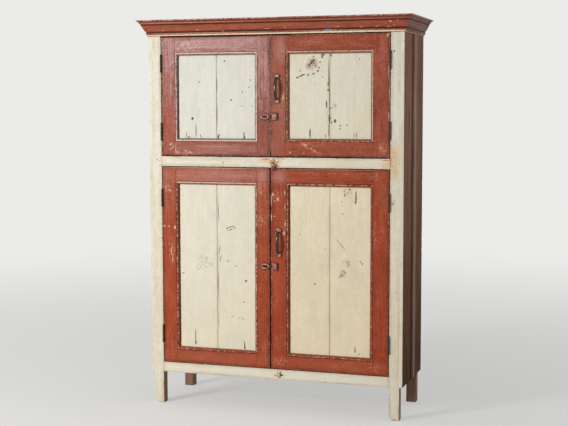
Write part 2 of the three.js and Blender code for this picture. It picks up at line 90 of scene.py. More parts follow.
def skin(rings, wraps=False, grainAxis=2, arris=0.0):
    # Rings of points along a path, each closed on itself, joined to the next by quads. Flat caps
    # close the ends unless the path wraps. The signed volume says if the faces need turning.
    rows, columns = rings.shape[:2]
    index = np.arange(rows * columns).reshape(rows, columns)
    if wraps:
        index = np.vstack([index, index[:1]])
    turned = np.roll(index, -1, axis=1)
    quads = np.stack([index[:-1], turned[:-1], turned[1:], index[1:]], axis=-1).reshape(-1, 4)
    caps = [] if wraps else [index[0, ::-1], index[-1]]
    fans = [quads[:, [0, 1, 2]], quads[:, [0, 2, 3]]]
    fans += [np.stack([np.full(columns - 2, cap[0]), cap[1:-1], cap[2:]], axis=-1) for cap in caps]
    points = rings.reshape(-1, 3)
    corners = (points - points.mean(0))[np.concatenate(fans)]
    faces = quads.tolist() + [cap.tolist() for cap in caps]
    if np.sum(corners[:, 0] * np.cross(corners[:, 1], corners[:, 2])) < 0:
        faces = [face[::-1] for face in faces]
    order = {0: [2, 1, 0], 1: [0, 2, 1], 2: [0, 1, 2]}[grainAxis]
    grain = points[:, order] + luck.uniform(0, 3000, 3)  # across, through and along the board
    closeness = np.broadcast_to(arris, rings.shape[:2]).reshape(-1)
    return {"points": points, "faces": faces, "grain": grain, "arris": closeness, "tone": luck.random()}


def makePiece(name, shapes, material, body, slot, *nodes):
    # One mesh of several shapes. Its attributes are grain (place in the board, m), arris (1 at a
    # sharp edge, 0 beyond 20 mm) and tone (one random number for each board).
    mesh = bpy.data.meshes.new(name)
    starts = np.cumsum([0] + [len(shape["points"]) for shape in shapes])
    faces = [[corner + int(start) for corner in face]
             for shape, start in zip(shapes, starts) for face in shape["faces"]]
    mesh.from_pydata((np.concatenate([shape["points"] for shape in shapes]) * mm).tolist(), [], faces)
    mesh.polygons.foreach_set("use_smooth", [True] * len(faces))
    mesh.set_sharp_from_angle(angle=math.radians(38))
    grain = np.concatenate([shape["grain"] for shape in shapes]) * mm
    mesh.attributes.new("grain", "FLOAT_VECTOR", "POINT").data.foreach_set("vector", grain.ravel())
    arris = np.concatenate([shape["arris"] for shape in shapes])
    mesh.attributes.new("arris", "FLOAT", "POINT").data.foreach_set("value", arris)
    tone = np.concatenate([np.full(len(shape["points"]), shape["tone"]) for shape in shapes])
    mesh.attributes.new("tone", "FLOAT", "POINT").data.foreach_set("value", tone)
    mesh.materials.append(material)
    piece = bpy.data.objects.new(name, mesh)
    bpy.context.scene.collection.objects.link(piece)
    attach(piece, body)
    if nodes:
        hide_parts(*nodes)
    return piece


def coat(node, material):  # for a CAD node that keeps its own mesh
    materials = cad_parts[node].data.materials
    materials.clear()
    materials.append(material)


boardLook = {"radius": 1.3, "across": 16, "along": 6, "support": 0.9, "wave": 0.35, "waveSize": 120,
             "chip": 1.7, "chipSize": 8, "chipLevel": 0.55, "arrisReach": 20, "meets": ()}
endAngles = np.radians([15, 40, 65, 90])


def board(low, high, grainAxis, **changes):
    # A sawn board. Its section is a rectangle with round arrises, place * (half - radius) + normal
    # * radius, carried along the grain and drawn in at the ends by radius * (1 - sin a) as it
    # advances by radius * (1 - cos a). Noise then wears the faces and nicks the arrises, inwards.
    look = {**boardLook, **changes}
    low, high = np.array(low, float), np.array(high, float)
    sides = [axis for axis in range(3) if axis != grainAxis]
    half = (high - low)[sides] / 2
    radius = min(look["radius"], 0.4 * half.min())
    place, normal, away = [], [], []
    for side in range(4):
        out = np.array([math.cos(side * math.pi / 2), math.sin(side * math.pi / 2)]).round()
        on = np.array([-out[1], out[0]])
        run = half[1 - side % 2] - radius
        cells = max(1, round(2 * run / look["across"]))
        inner = 1 - min(look["support"] / run, 0.4)
        steps = np.concatenate([[-1], np.linspace(-inner, inner, cells + 1), [1]])
        bend = np.radians([30, 60])[:, None]
        place += [out + steps[:, None] * on, np.tile(out + on, (2, 1))]
        normal += [np.tile(out, (len(steps), 1)), np.cos(bend) * out + np.sin(bend) * on]
        away += [(1 - np.abs(steps)) * run, np.zeros(2)]
    place, normal, away = np.concatenate(place), np.concatenate(normal), np.concatenate(away)
    length = high[grainAxis] - low[grainAxis]
    rows = max(2, round(length / look["along"]))
    advance = radius * (1 - np.cos(endAngles))
    stations = np.concatenate([advance, np.linspace(radius, length - radius, rows + 1)[1:-1], length - advance[::-1]])
    drawnIn = np.concatenate([radius * (1 - np.sin(endAngles)), np.zeros(rows - 1)])
    drawnIn = np.concatenate([drawnIn, radius * (1 - np.sin(endAngles[::-1]))])
    rings = np.zeros((len(stations), len(place), 3))
    outward = np.zeros_like(rings)
    rings[:, :, grainAxis] = (low[grainAxis] + stations)[:, None]
    outward[:, :, sides] = normal
    rings[:, :, sides] = (high + low)[sides] / 2 + place * (half - radius)
    rings += outward * (radius - drawnIn)[:, None, None]
    shifted = rings + luck.uniform(0, 900, 3)
    worn = look["wave"] * (0.5 + 0.5 * smoothNoise(shifted, look["waveSize"]))
    stretch = np.ones(3)
    stretch[grainAxis] = 0.5  # nicks run twice as far along the grain
    nicks = smoothNoise(shifted * stretch, look["chipSize"]) + 0.8 * smoothNoise(shifted, 9 * look["chipSize"])
    nicks = np.clip(nicks - look["chipLevel"], 0, 0.7) / 0.7 * np.clip(1 - away / 2, 0, 1)
    rings -= outward * (worn + look["chip"] * nicks)[:, :, None]
    toEnd = np.minimum(stations, length - stations)[:, None]
    arris = np.clip(1 - np.minimum(away, toEnd) / look["arrisReach"], 0, 1)
    for axis, level in look["meets"]:  # an edge against another board isn't rubbed
        arris = arris * np.clip(0.3 + np.abs(rings[:, :, axis] - level) / 25, 0, 1)
    return skin(rings, grainAxis=grainAxis, arris=arris)


def curveThrough(points, steps):
    # A smooth curve through its points: each span is the cubic whose end slopes are half the step
    # from the point before to the point after.
    points = np.array(points, float)
    spread = np.vstack([2 * points[0] - points[1], points, 2 * points[-1] - points[-2]])
    t = np.linspace(0, 1, steps, endpoint=False)[None, :, None]
    a, b, c, d = [spread[i:len(spread) - 3 + i, None] for i in range(4)]
    spans = b + t / 2 * (c - a + t * (2 * a - 5 * b + 4 * c - d + t * (3 * (b - c) + d - a)))
    return np.vstack([spans.reshape(-1, points.shape[1]), points[-1]])


def tube(path, side, radii, sides=14):
    # An oval carried along a path in one plane: radius 0 lies along side, square to that plane, and
    # radius 1 along the path's own normal in it.
    path, side = np.array(path, float), np.array(side, float)
    ahead = np.gradient(path, axis=0)
    normal = np.cross(ahead / np.linalg.norm(ahead, axis=1, keepdims=True), side)
    radii = np.broadcast_to(np.array(radii, float), (len(path), 2))
    turn = np.linspace(0, 2 * np.pi, sides, endpoint=False)[None, :, None]
    across = radii[:, None, :1] * np.cos(turn) * side
    return skin(path[:, None] + across + radii[:, None, 1:] * np.sin(turn) * normal[:, None])


def plate(outline, back, profile):
    # A flat outline (x, z) built up in layers: each is middle + (outline - middle) * share, and
    # rises a given height over the back, towards the front. The inner layers aren't rubbed.
    outline = np.array(outline, float)
    middle = (outline.max(0) + outline.min(0)) / 2
    rings = []
    for share, rise in profile:
        flat = middle + (outline - middle) * share
        rings.append(np.stack([flat[:, 0], np.full(len(flat), back - rise), flat[:, 1]], axis=-1))
    rim = np.array([0.2 if share < 0.85 else 1.0 for share, _ in profile])[:, None]
    return skin(np.array(rings), arris=rim)


def ovalOutline(x, z, width, height, sides=28):
    turn = np.linspace(0, 2 * np.pi, sides, endpoint=False)
    return np.stack([x + width / 2 * np.cos(turn), z + height / 2 * np.sin(turn)], axis=-1)


# ---- materials


def hexColor(code):  # sRGB hex to linear
    channels = np.array([int(code[i:i + 2], 16) / 255 for i in (1, 3, 5)])
    linear = np.where(channels <= 0.04045, channels / 12.92, ((channels + 0.055) / 1.055) ** 2.4)
    return (*linear.tolist(), 1.0)


def addNode(tree, kind, inputs=None, **settings):
    # Adds a node, its settings and its links. An input is a value, a node or a (node, output) pair.
    node = tree.nodes.new("ShaderNode" + kind)
    for key, value in settings.items():
        setattr(node, key, value)
    for key, value in (inputs or {}).items():
        usable = [socket for socket in node.inputs if socket.enabled]
        socket = usable[key] if isinstance(key, int) else next(s for s in usable if s.name == key)
        if isinstance(value, bpy.types.Node):
            value = (value, next(output.name for output in value.outputs if output.enabled))
        if isinstance(value, tuple) and isinstance(value[0], bpy.types.Node):
            tree.links.new(next(o for o in value[0].outputs if o.enabled and o.name == value[1]), socket)
        else:
            socket.default_value = value
    return node


def newMaterial(name, viewColor):
    material = bpy.data.materials.new(name)
    material.use_nodes = True
    material.diffuse_color = hexColor(viewColor)
    material.node_tree.nodes.clear()
    return material, material.node_tree


def layPatterns(tree, place, sizes):
    # Noise on a board's own place. Each size is in millimetres across, through and along the
    # grain, with its detail.
    patterns = {}
    for name, (size, detail) in sizes.items():
        scaled = addNode(tree, "VectorMath", {0: place, 1: [1 / (mm * s) for s in size]}, operation="MULTIPLY")
        patterns[name] = addNode(tree, "TexNoise", {
            "Vector": scaled, "Scale": 1.0, "Detail": detail, "Roughness": 0.6})
    return patterns


def layOver(tree, ground, layers):
    # Lays colours one over another, each from none at the first level of its pattern to its
    # strength at the second.
    for colour, pattern, start, full, strength in layers:
        cover = addNode(tree, "MapRange", {"Value": pattern, "From Min": start, "From Max": full, "To Max": strength})
        ground = addNode(tree, "Mix", {"Factor": cover, "A": ground, "B": hexColor(colour)}, data_type="RGBA")
    return ground


def addUp(tree, parts, total=0.0):
    # The sum of patterns, each times its weight, and of a start value.
    for pattern, weight in parts:
        total = addNode(tree, "Math", {0: pattern, 1: weight, 2: total}, operation="MULTIPLY_ADD")
    return total


def markNearness(tree, marks, ragged=0.5):
    # How far a point on the front lies from the nearest mark, 0 in its middle and 1 on its edge.
    # A mark is an ellipse: x, z, width and height in millimetres, then its turn in degrees, if any.
    place = addNode(tree, "TexCoord")
    finePlace = addNode(tree, "VectorMath", {0: (place, "Object"), "Scale": 1 / (7 * mm)}, operation="SCALE")
    rough = addNode(tree, "TexNoise", {"Vector": finePlace, "Scale": 1.0, "Detail": 3.0})
    drift = addNode(tree, "VectorMath", {0: (rough, "Color"), 1: (0.5, 0.5, 0.5)}, operation="SUBTRACT")
    moved = addNode(tree, "VectorMath", {0: drift, 1: [5 * mm] * 3, 2: (place, "Object")}, operation="MULTIPLY_ADD")
    nearest = None
    for x, z, width, height, *turn in marks:
        local = addNode(tree, "Mapping", {
            "Vector": moved, "Location": (x * mm, 0, z * mm), "Rotation": (0, math.radians(sum(turn)), 0),
            "Scale": (width / 2 * mm, 1000, height / 2 * mm)}, vector_type="TEXTURE")
        away = addNode(tree, "VectorMath", {0: local}, operation="LENGTH")
        if nearest is not None:
            away = addNode(tree, "Math", {0: nearest, 1: away}, operation="MINIMUM")
        nearest = away
    return addUp(tree, [(rough, ragged), (nearest, 1.0)])


def finishMaterial(tree, colour, heights, roughness, **shader):
    # Closes a material: heights are (pattern, millimetres) for its bump.
    bump = addNode(tree, "Bump", {"Strength": 1.0, "Distance": mm, "Height": addUp(tree, heights)})
    surface = addNode(tree, "BsdfPrincipled", {
        "Base Color": colour, "Roughness": roughness, "Normal": bump, **shader})
    addNode(tree, "OutputMaterial", {"Surface": surface})


woodPatterns = {
    "patches": ((150, 150, 320), 4.0),  # hand-wide areas of fading
    "streaks": ((11, 11, 260), 4.0),  # brush marks and grain, coarse enough to show
    "fine": ((2.5, 2.5, 110), 3.0),  # brush hairs
    "mottle": ((9, 9, 16), 5.0),
    "grit": ((5, 5, 7), 2.0),  # dabs and dust, as fine as a render pixel
    "specks": ((4.4, 4.4, 5.6), 2.0),
    "chips": ((7, 7, 15), 4.0),
    "blotches": ((26, 26, 55), 4.0),
    "clusters": ((60, 60, 130), 3.0),  # where chips gather
    "hair": ((30, 30, 75), 3.0),  # its middle level runs in hairlines
    "scrawl": ((8, 8, 8), 2.0),  # the same, as fine scratches
}

fading = {"low": 0.5, "high": 0.62}  # levels of the patches where old paint has faded
dustMix = {"streaks": 0.9, "blotches": 0.4, "mottle": 0.55, "grit": 0.55}  # what gathers the dust
bareBoard = {"pale": "#a98a72", "grime": "#231710", "creaseDirtAndShade": "#1d1410", "line": "#d9bba6", "joint": "#20140f",
             "jointToLine": 74}


def paintMaterial(name, look, marks=(), scuffs=(), bare=None, opening=None):
    # Old oil paint on softwood, brushed on by hand: satin, streaked, dusty and chipped to the wood.
    # Behind the level that bare gives, the board is left unpainted.
    material, tree = newMaterial(name, look["paint"])
    grain = addNode(tree, "Attribute", attribute_name="grain")
    arris = (addNode(tree, "Attribute", attribute_name="arris"), "Fac")
    tone = (addNode(tree, "Attribute", attribute_name="tone"), "Fac")
    place = addNode(tree, "SeparateXYZ", {"Vector": (addNode(tree, "TexCoord"), "Object")})
    lay = layPatterns(tree, (grain, "Vector"), woodPatterns)
    rise = addUp(tree, [(lay["patches"], look["drift"]), ((place, "Z"), 1.0)])
    sharp = addNode(tree, "Math", {0: arris, 1: 0.0}, operation="MAXIMUM")
    rim = addNode(tree, "Math", {0: sharp, 1: 6.0}, operation="POWER")
    # arris below 0 marks a crease or hollow, painted dark there as dirt and painted shade
    crease = addNode(tree, "Math", {0: arris, 1: -1.0}, operation="MULTIPLY")
    lines = {}
    for line in ("hair", "scrawl"):
        middle = addNode(tree, "Math", {0: lay[line], 1: 0.5}, operation="SUBTRACT")
        lines[line] = addNode(tree, "Math", {0: middle}, operation="ABSOLUTE")
    hairAt = addUp(tree, [(lines["hair"], -16.0), (lay["clusters"], 1.0)])
    dustLow, dustHigh = look["dustLevels"]
    dustRise = addNode(tree, "MapRange", {"Value": (place, "Z"), "From Min": dustLow, "From Max": dustHigh})
    dustAt = addUp(tree, [(lay[pattern], weight) for pattern, weight in dustMix.items()] + [(dustRise, 0.25)])
    colour = layOver(tree, hexColor(look["paint"]), [
        (look["above"], rise, look["levels"][0], look["levels"][1], 1.0),
        (look["faded"], lay["patches"], fading["low"], fading["high"], 0.6),
        (look["light"], lay["clusters"], 0.52, 0.62, look["cloud"]),
        (look["dark"], lay["clusters"], 0.48, 0.38, look["cloud"]),
        (look["light"], lay["blotches"], 0.52, 0.64, look["blotch"]),
        (look["dark"], lay["blotches"], 0.48, 0.36, look["blotch"]),
        (look["light"], lay["streaks"], 0.51, 0.63, look["streak"]),
        (look["dark"], lay["streaks"], 0.49, 0.37, look["streak"]),
        (look["dark"], tone, 0.55, 1.0, 0.15),
        (look["light"], lay["mottle"], 0.54, 0.66, look["mottle"]),
        (look["dark"], lay["mottle"], 0.46, 0.34, look["mottle"]),
        (look["light"], lay["grit"], 0.53, 0.66, look["gritty"]),
        (look["dark"], lay["grit"], 0.47, 0.34, look["gritty"]),
        (look["dust"], dustAt, 1.29, 1.66, look["dusty"]),
    ])
    rubAt = addUp(tree, [(arris, 1.0), (lay["chips"], 0.8), (lay["grit"], 0.6)])
    grimeAt = addUp(tree, [(arris, 0.3), (lay["mottle"], 0.5), (lay["patches"], 0.45)])
    wearAt = addUp(tree, [(lay["clusters"], 0.55), (lay["chips"], 1.0)])
    chipAt = addUp(tree, [(rim, look["edgeWear"]), (wearAt, 1.0)])
    speckAt = addUp(tree, [(lay["specks"], 1.0), (lay["clusters"], 0.45)])
    colour = layOver(tree, colour, [
        (look["grime"], grimeAt, 0.56, 0.8, look["dirt"]),
        # dark lines in the creases: dirt and painted shade
        (look["creaseDirtAndShade"], crease, 0.3, 0.9, 0.95),
        (look["under"], rubAt, 1.64, 1.76, look["rubbed"]),
        (look["scratch"], hairAt, look["hairLevel"], look["hairLevel"] + 0.05, 0.6),
        (look["speck"], speckAt, look["speckLevel"], look["speckLevel"] + 0.03, 0.8),
        (look["under"], chipAt, look["chipLevel"], look["chipLevel"] + 0.05, 0.8),
        (look["wood"], wearAt, look["chipLevel"], look["chipLevel"] + 0.04, 0.9),
    ])
    for hexCode, places, edge, strength in marks:
        near = markNearness(tree, places, edge)
        colour = layOver(tree, colour, [(hexCode, near, 1.0 + edge / 2, 0.9, strength)])
    for hexCode, places, width, strength in scuffs:  # fine scratches inside an area
        near = addNode(tree, "MapRange", {"Value": markNearness(tree, places, 0.8), "From Min": 1.5, "From Max": 1.0})
        broken = addUp(tree, [(lines["scrawl"], 1.0), (lay["mottle"], -0.4)], 0.2)
        cut = addNode(tree, "MapRange", {
            "Value": broken, "From Min": width, "From Max": width * 0.4, "To Max": strength})
        both = addNode(tree, "Math", {0: near, 1: cut}, operation="MULTIPLY")
        colour = addNode(tree, "Mix", {"Factor": both, "A": colour, "B": hexColor(hexCode)}, data_type="RGBA")
    if opening:
        # painted shadow and dark lines of dirt along the edges of the panel's opening
        for axis, way, level, width, hexCode, strength in opening:
            inside = addUp(tree, [((place, axis), way / mm), (lay["chips"], 6.0)], -way * level - 3)
            colour = layOver(tree, colour, [(hexCode, inside, width + 0.7, width - 0.7, strength)])
    if bare:
        away = []
        for level in (bare["joint"], bare["joint"] + bareBoard["jointToLine"]):
            gap = addNode(tree, "Math", {0: (place, "Y"), 1: level * mm}, operation="SUBTRACT")
            gap = addNode(tree, "Math", {0: gap}, operation="ABSOLUTE")
            away.append(addUp(tree, [(gap, 1 / mm), (lay["chips"], 12.0)], -6.0))
        fromJoint, fromLine = away
        back = layOver(tree, hexColor(bare["wood"]), [
            (bare["dark"], (place, "Z"), 1.45, 0.2, bare["low"]),
            (bare["dark"], (place, "Y"), 0.09, 0.14, 0.3),
            (bare["dark"], lay["streaks"], 0.48, 0.66, 0.48),
            (bare["dark"], lay["mottle"], 0.5, 0.7, 0.4),
            (bareBoard["pale"], lay["streaks"], 0.42, 0.34, 0.4),
            (bareBoard["grime"], grimeAt, 0.6, 0.95, 0.5),
            # dark lines in the creases: dirt and painted shade
            (bareBoard["creaseDirtAndShade"], crease, 0.3, 0.9, 0.9),
            (bareBoard["line"], fromLine, 28, 6, 0.5),
            (bareBoard["joint"], fromJoint, 30, 4, 0.85),
        ])
        depth = addUp(tree, [(lay["chips"], 2 * mm), ((place, "Y"), 1.0)])
        behind = addNode(tree, "MapRange", {
            "Value": depth, "From Min": (bare["level"] + 2.8) * mm, "From Max": (bare["level"] + 3.1) * mm})
        colour = addNode(tree, "Mix", {"Factor": behind, "A": colour, "B": back}, data_type="RGBA")
    sheen = addNode(tree, "MapRange", {
        "Value": lay["patches"], "From Min": 0.35, "From Max": 0.65,
        "To Min": look["gloss"], "To Max": look["gloss"] + 0.2})
    chipped = addNode(tree, "MapRange", {
        "Value": chipAt, "From Min": look["chipLevel"], "From Max": look["chipLevel"] + 0.03})
    heights = [(lay["fine"], 0.25), (lay["streaks"], 0.8), (lay["mottle"], look["bumpy"]), (chipped, -0.4)]
    finishMaterial(tree, colour, heights, sheen, **{"Specular IOR Level": look["specular"]})
    return material


def tones(*codes):  # the five colours of a coat
    return dict(zip(("paint", "above", "faded", "light", "dark"), codes))


front = -195  # the plane of the post fronts
creamLook = {
    **tones("#e4dbc4", "#ded9ca", "#dbd0b4", "#efe9d9", "#cbbf9f"), "levels": (0.4, 1.9), "drift": 0.5,
    "cloud": 0.15, "bumpy": 0.35, "streak": 0.2, "blotch": 0.3, "mottle": 0.3, "grime": "#b08c62", "dirt": 0.35,
    "speck": "#6b4a36", "speckLevel": 0.98, "edgeWear": 0.2, "gritty": 0.35, "creaseDirtAndShade": "#5a4130", "rubbed": 0.0,
    "specular": 0.16, "under": "#9b6546", "wood": "#54392a", "chipLevel": 1.04, "gloss": 0.5, "scratch": "#8a7258",
    "hairLevel": 0.62, "dust": "#f0ecdf", "dusty": 0.3, "dustLevels": (0, 2)}
carcassMarks = [
    ("#e9e3d4", [(0, 186, 1500, 60)], 1.0, 0.5),
    ("#dcc79a", [(320, 1226, 620, 60)], 1.3, 0.35),
    ("#dcab66", [
        (598, 1262, 90, 150, 8), (606, 1190, 44, 110), (565, 1222, 90, 50), (10, 1228, 110, 44),
        (-20, 1234, 120, 30), (30, 183, 90, 34), (588, 1040, 50, 30)], 1.2, 0.55),
    ("#b06c35", [
        (2, 1226, 46, 24, 5), (20, 1212, 34, 14), (-40, 1240, 44, 7), (40, 1244, 60, 5), (595, 1039, 13, 13, 20),
        (574, 1050, 26, 4, 60), (603, 1048, 24, 4, -50), (0, 1224, 34, 16, 10), (14, 1209, 40, 12),
        (-28, 1243, 40, 6), (584, 1236, 7, 60), (583, 1180, 5, 90), (560, 1243, 40, 6), (13, 180, 14, 9),
        (-604, 1232, 30, 5, 30), (-590, 1206, 26, 4)], 0.8, 0.8),
    ("#dcc79c", [(606, 800, 70, 1000)], 1.4, 0.22),
    ("#c4935a", [
        (583, 760, 12, 620), (630, 440, 16, 600), (586, 70, 16, 130), (628, 50, 18, 90), (606, 4, 60, 20),
        (-583, 60, 12, 120)], 1.5, 0.55),
    ("#8a5730", [
        (588, 1300, 6, 8), (598, 1282, 8, 5), (604, 1260, 5, 8), (590, 1252, 8, 6), (610, 1232, 6, 9),
        (596, 1216, 7, 7), (606, 1196, 6, 6), (576, 1226, 8, 5), (548, 1216, 7, 5), (-10, 1236, 12, 6)], 1.1, 0.7),
    # dark holes and spots, mostly on the middle rail; the marks beside the bent nail on the bottom rail are its
    # painted shadow
    ("#241511", [
        (10, 1238, 10, 9), (3, 1224, 12, 9), (-3, 1208, 13, 10), (16, 1207, 15, 11), (26, 1228, 9, 8),
        (18, 1218, 20, 7, 20), (8, 1213, 10, 16), (30, 1209, 12, 5, -20), (-8, 1218, 12, 5, 20), (-256, 1221, 9, 6),
        (10, 1202, 36, 6), (599, 1752, 5, 20, 25), (37, 186, 8, 34), (46, 184, 16, 12), (24, 176, 10, 5),
        (4, 1240, 5, 16, -20)], 0.6, 0.92),
]
redBase = {
    "cloud": 0.25, "bumpy": 0.6, "streak": 0.16, "blotch": 0.3, "mottle": 0.34, "gritty": 0.4, "creaseDirtAndShade": "#2c1510",
    "rubbed": 0.5, "specular": 0.16, "grime": "#4a2820", "dirt": 0.6, "speck": "#d3a68d", "speckLevel": 0.955,
    "edgeWear": 0.16, "under": "#bf8e70", "wood": "#6d4a36", "chipLevel": 1.05, "gloss": 0.5, "drift": 0.5,
    "scratch": "#c79080", "hairLevel": 0.58, "dust": "#b98d82", "dusty": 0.5, "dustLevels": (1.0, 1.2)}
redLooks = {
    "upper_left": {
        **redBase, "mottle": 0.3, "gritty": 0.45, "streak": 0.3,
        **tones("#9a4a30", "#9c5d50", "#a05c49", "#b0766a", "#7c3c2f"), "levels": (1.45, 1.75), "dust": "#c19b95",
        "dusty": 0.8, "dustLevels": (1.25, 1.75), "under": "#c4a08a", "rubbed": 0.8},
    "upper_right": {
        **redBase, **tones("#9f4b31", "#99432a", "#a0543e", "#b0674f", "#743120"), "levels": (1.5, 2.05),
        "dust": "#b5806f", "dustLevels": (1.2, 2.4), "dusty": 0.3, "under": "#c39a80", "rubbed": 0.7},
    "lower_left": {
        **redBase, **tones("#a54421", "#a6523b", "#9f4930", "#b05d40", "#7b2f17"), "levels": (1.0, 1.5),
        "dust": "#bb8775", "dustLevels": (0.9, 1.2)},
    "lower_right": {
        **redBase, **tones("#a03d1d", "#a24a2b", "#9c4329", "#ad5637", "#762c18"), "levels": (1.0, 1.6),
        "dust": "#b6765f", "dustLevels": (1.0, 1.5), "dusty": 0.45},
}
redMarks = {
    "upper_left": [
        # a broad pale patch on the top rail: painted sheen
        ("#c4a19c", [(-293, 1800, 620, 80)], 1.4, 0.42),
        ("#b08478", [(-293, 1290, 520, 70)], 1.4, 0.36),
        # pale brush streaks on the top and bottom rails, lightened as painted highlights
        ("#c9a7a1", [
            (-330, 1814, 380, 7), (-230, 1793, 300, 5), (-400, 1786, 160, 4), (-300, 1300, 340, 5)], 1.4, 0.4),
        ("#dcbcab", [(-507, 1290, 5.5, 80)], 0.9, 0.8),
        ("#a04526", [(-536, 1400, 90, 330)], 1.4, 0.6),
        # painted shadow along the top edge under the cornice and along the bottom edge over the middle rail
        ("#20130e", [(-293, 1836.5, 1000, 9), (-293, 1252.5, 1000, 12)], 0.6, 0.9),
        ("#b98b7c", [(-16, 1560, 6, 420)], 1.3, 0.7),
        # a dark rim round the hasp: dirt and painted contact shadow
        ("#2a1611", [(-39, 1446, 55, 40)], 0.3, 0.9),
        ("#e0bdaa", [
            (-534, 1309, 22, 5, -20), (-522, 1297, 6, 20, 10), (-530, 1290, 18, 4, 20), (-63, 1522, 30, 3),
            (-522, 1715, 9, 7)], 0.7, 0.75),
        ("#43241b", [(-531, 1301, 7, 7)], 0.5, 0.8),
    ],
    "upper_right": [
        ("#b98070", [(35, 1500, 110, 700)], 1.4, 0.28),
        ("#bb9087", [(40, 1780, 90, 200)], 1.4, 0.4),
        ("#8c6263", [(-4, 1670, 13, 340), (0, 1310, 22, 110)], 0.8, 0.5),
        # a dark streak right of the handle: painted shadow of the bow, with hand grime
        ("#5a2a1c", [(38, 1580, 18, 94)], 1.2, 0.5),
        # painted shadow in the gap below the door, at the foot of the meeting edge and under the cornice
        ("#1b0f0b", [(280, 1253, 900, 14), (-9, 1262, 7, 50), (45, 1837, 160, 8)], 0.6, 0.92),
        # dark rims round the hasp and the handle plates: dirt and painted contact shadow
        ("#2a1611", [(9, 1447, 48, 46), (22.5, 1641, 45, 31), (22.5, 1521, 46, 33)], 0.3, 0.88),
        ("#d9693f", [(230, 1326, 260, 4), (420, 1322, 60, 4), (160, 1322, 60, 6)], 1.2, 0.7),
        ("#a2441f", [(285, 1796, 700, 70)], 1.4, 0.3),
        ("#a5714f", [(54, 1530, 26, 100), (44, 1478, 34, 30)], 1.0, 0.55),
        ("#d9b795", [
            (54, 1540, 9, 44, 10), (567, 1826, 12, 26, 20), (160, 1312, 20, 8, 20), (89, 1275, 12, 14),
            (576, 1560, 4, 130)], 0.9, 0.7),
        ("#cf7a4a", [
            (538, 1300, 30, 26), (552, 1286, 16, 12), (168, 1306, 26, 16), (176, 1298, 34, 9, 30),
            (205, 1286, 30, 12, 20), (158, 1272, 20, 9), (226, 1276, 22, 8)], 1.0, 0.8),
        ("#dcc0a8", [
            (168, 1312, 24, 7, 25), (196, 1296, 10, 8), (214, 1280, 12, 6), (574, 1450, 4, 60),
            (572, 1660, 4, 90)], 1.0, 0.75),
    ],
    "lower_left": [
        ("#a8441c", [(-536, 700, 100, 900)], 1.4, 0.32),
        ("#bd6f52", [(-293, 250, 900, 80)], 1.4, 0.28),
        # pale patches on the top rail: painted highlight, strongest at its right end
        ("#bf8f86", [(-293, 1155, 620, 76), (-50, 1155, 90, 80)], 1.4, 0.38),
        ("#d3b4a6", [(-293, 1195, 640, 4.5)], 1.3, 0.75),
        # a dark rim round the hasp: dirt and painted contact shadow
        ("#2a1611", [(-39, 718, 55, 40)], 0.3, 0.9),
        ("#e0c4a8", [
            (-571, 901, 10, 13), (-546, 901, 11, 11), (-514, 896, 15, 22), (-534, 780, 5, 64, 5),
            (-528, 735, 5, 44, 5), (-540, 1080, 14, 9, 20), (-562, 1098, 10, 8)], 0.8, 0.8),
        ("#dccbd0", [(-340, 1124, 420, 5)], 1.0, 0.8),
        ("#3f2822", [(-540, 1092, 7, 7), (-548, 1100, 5, 4), (-533, 906, 6, 5)], 0.6, 0.8),
    ],
    "lower_right": [
        ("#170d0a", [(10, 1193, 26, 9), (12, 1188, 13, 11)], 0.5, 0.95),
        ("#b44a20", [(26, 700, 90, 900)], 1.5, 0.22),
        ("#b56b4d", [(285, 250, 900, 80)], 1.4, 0.3),
        ("#b98a83", [(34, 1158, 110, 90)], 1.4, 0.5),
        ("#cf8f6a", [(300, 1195, 640, 4)], 1.3, 0.65),
        # a dark streak right of the handle: painted shadow of the bow, with hand grime
        ("#5a2415", [(47, 836, 18, 94)], 1.2, 0.45),
        # dark rims round the hasp and the handle plates: dirt and painted contact shadow
        ("#2a1611", [(9, 719, 48, 46), (31.5, 897, 44, 30), (31.5, 777, 45, 32)], 0.3, 0.82),
        ("#e2ccaa", [
            (2, 1071, 12, 20), (27, 1048, 15, 19), (-6, 1045, 5, 60), (-6, 960, 5, 50), (62, 1080, 5, 26),
            (12, 1040, 7, 9), (63, 1010, 4, 44), (58, 884, 9, 26), (8, 965, 9, 8), (64, 930, 5, 36)], 1.0, 0.8),
    ],
}
redScuffs = {
    "upper_left": [
        ("#d8bdb2", [(-460, 1268, 120, 34, 8), (-531, 1300, 40, 40), (-440, 1790, 160, 50)], 0.03, 0.75),
    ],
    "upper_right": [
        ("#c99479", [
            (180, 1796, 150, 24), (226, 1275, 80, 30, 25), (165, 1318, 60, 20), (550, 1300, 60, 60)], 0.026, 0.6),
    ],
    "lower_left": [
        ("#d3a48c", [
            (-546, 1090, 50, 60), (-60, 935, 60, 70), (-60, 1100, 50, 80), (-532, 780, 40, 160)], 0.024, 0.6),
    ],
    "lower_right": [
        ("#d0a086", [
            (16, 1060, 46, 70), (40, 250, 90, 50), (510, 1165, 80, 40), (520, 255, 80, 60),
            (54, 885, 24, 70)], 0.02, 0.55),
    ],
}
panelBase = {
    **creamLook, "cloud": 0.24, "streak": 0.1, "blotch": 0.2, "mottle": 0.22, "grime": "#8a7358", "dirt": 0.2,
    "speck": "#4b3528", "speckLevel": 1.03, "edgeWear": 0.1, "under": "#a88c6c", "wood": "#4a3327",
    "chipLevel": 1.08, "hairLevel": 0.66}
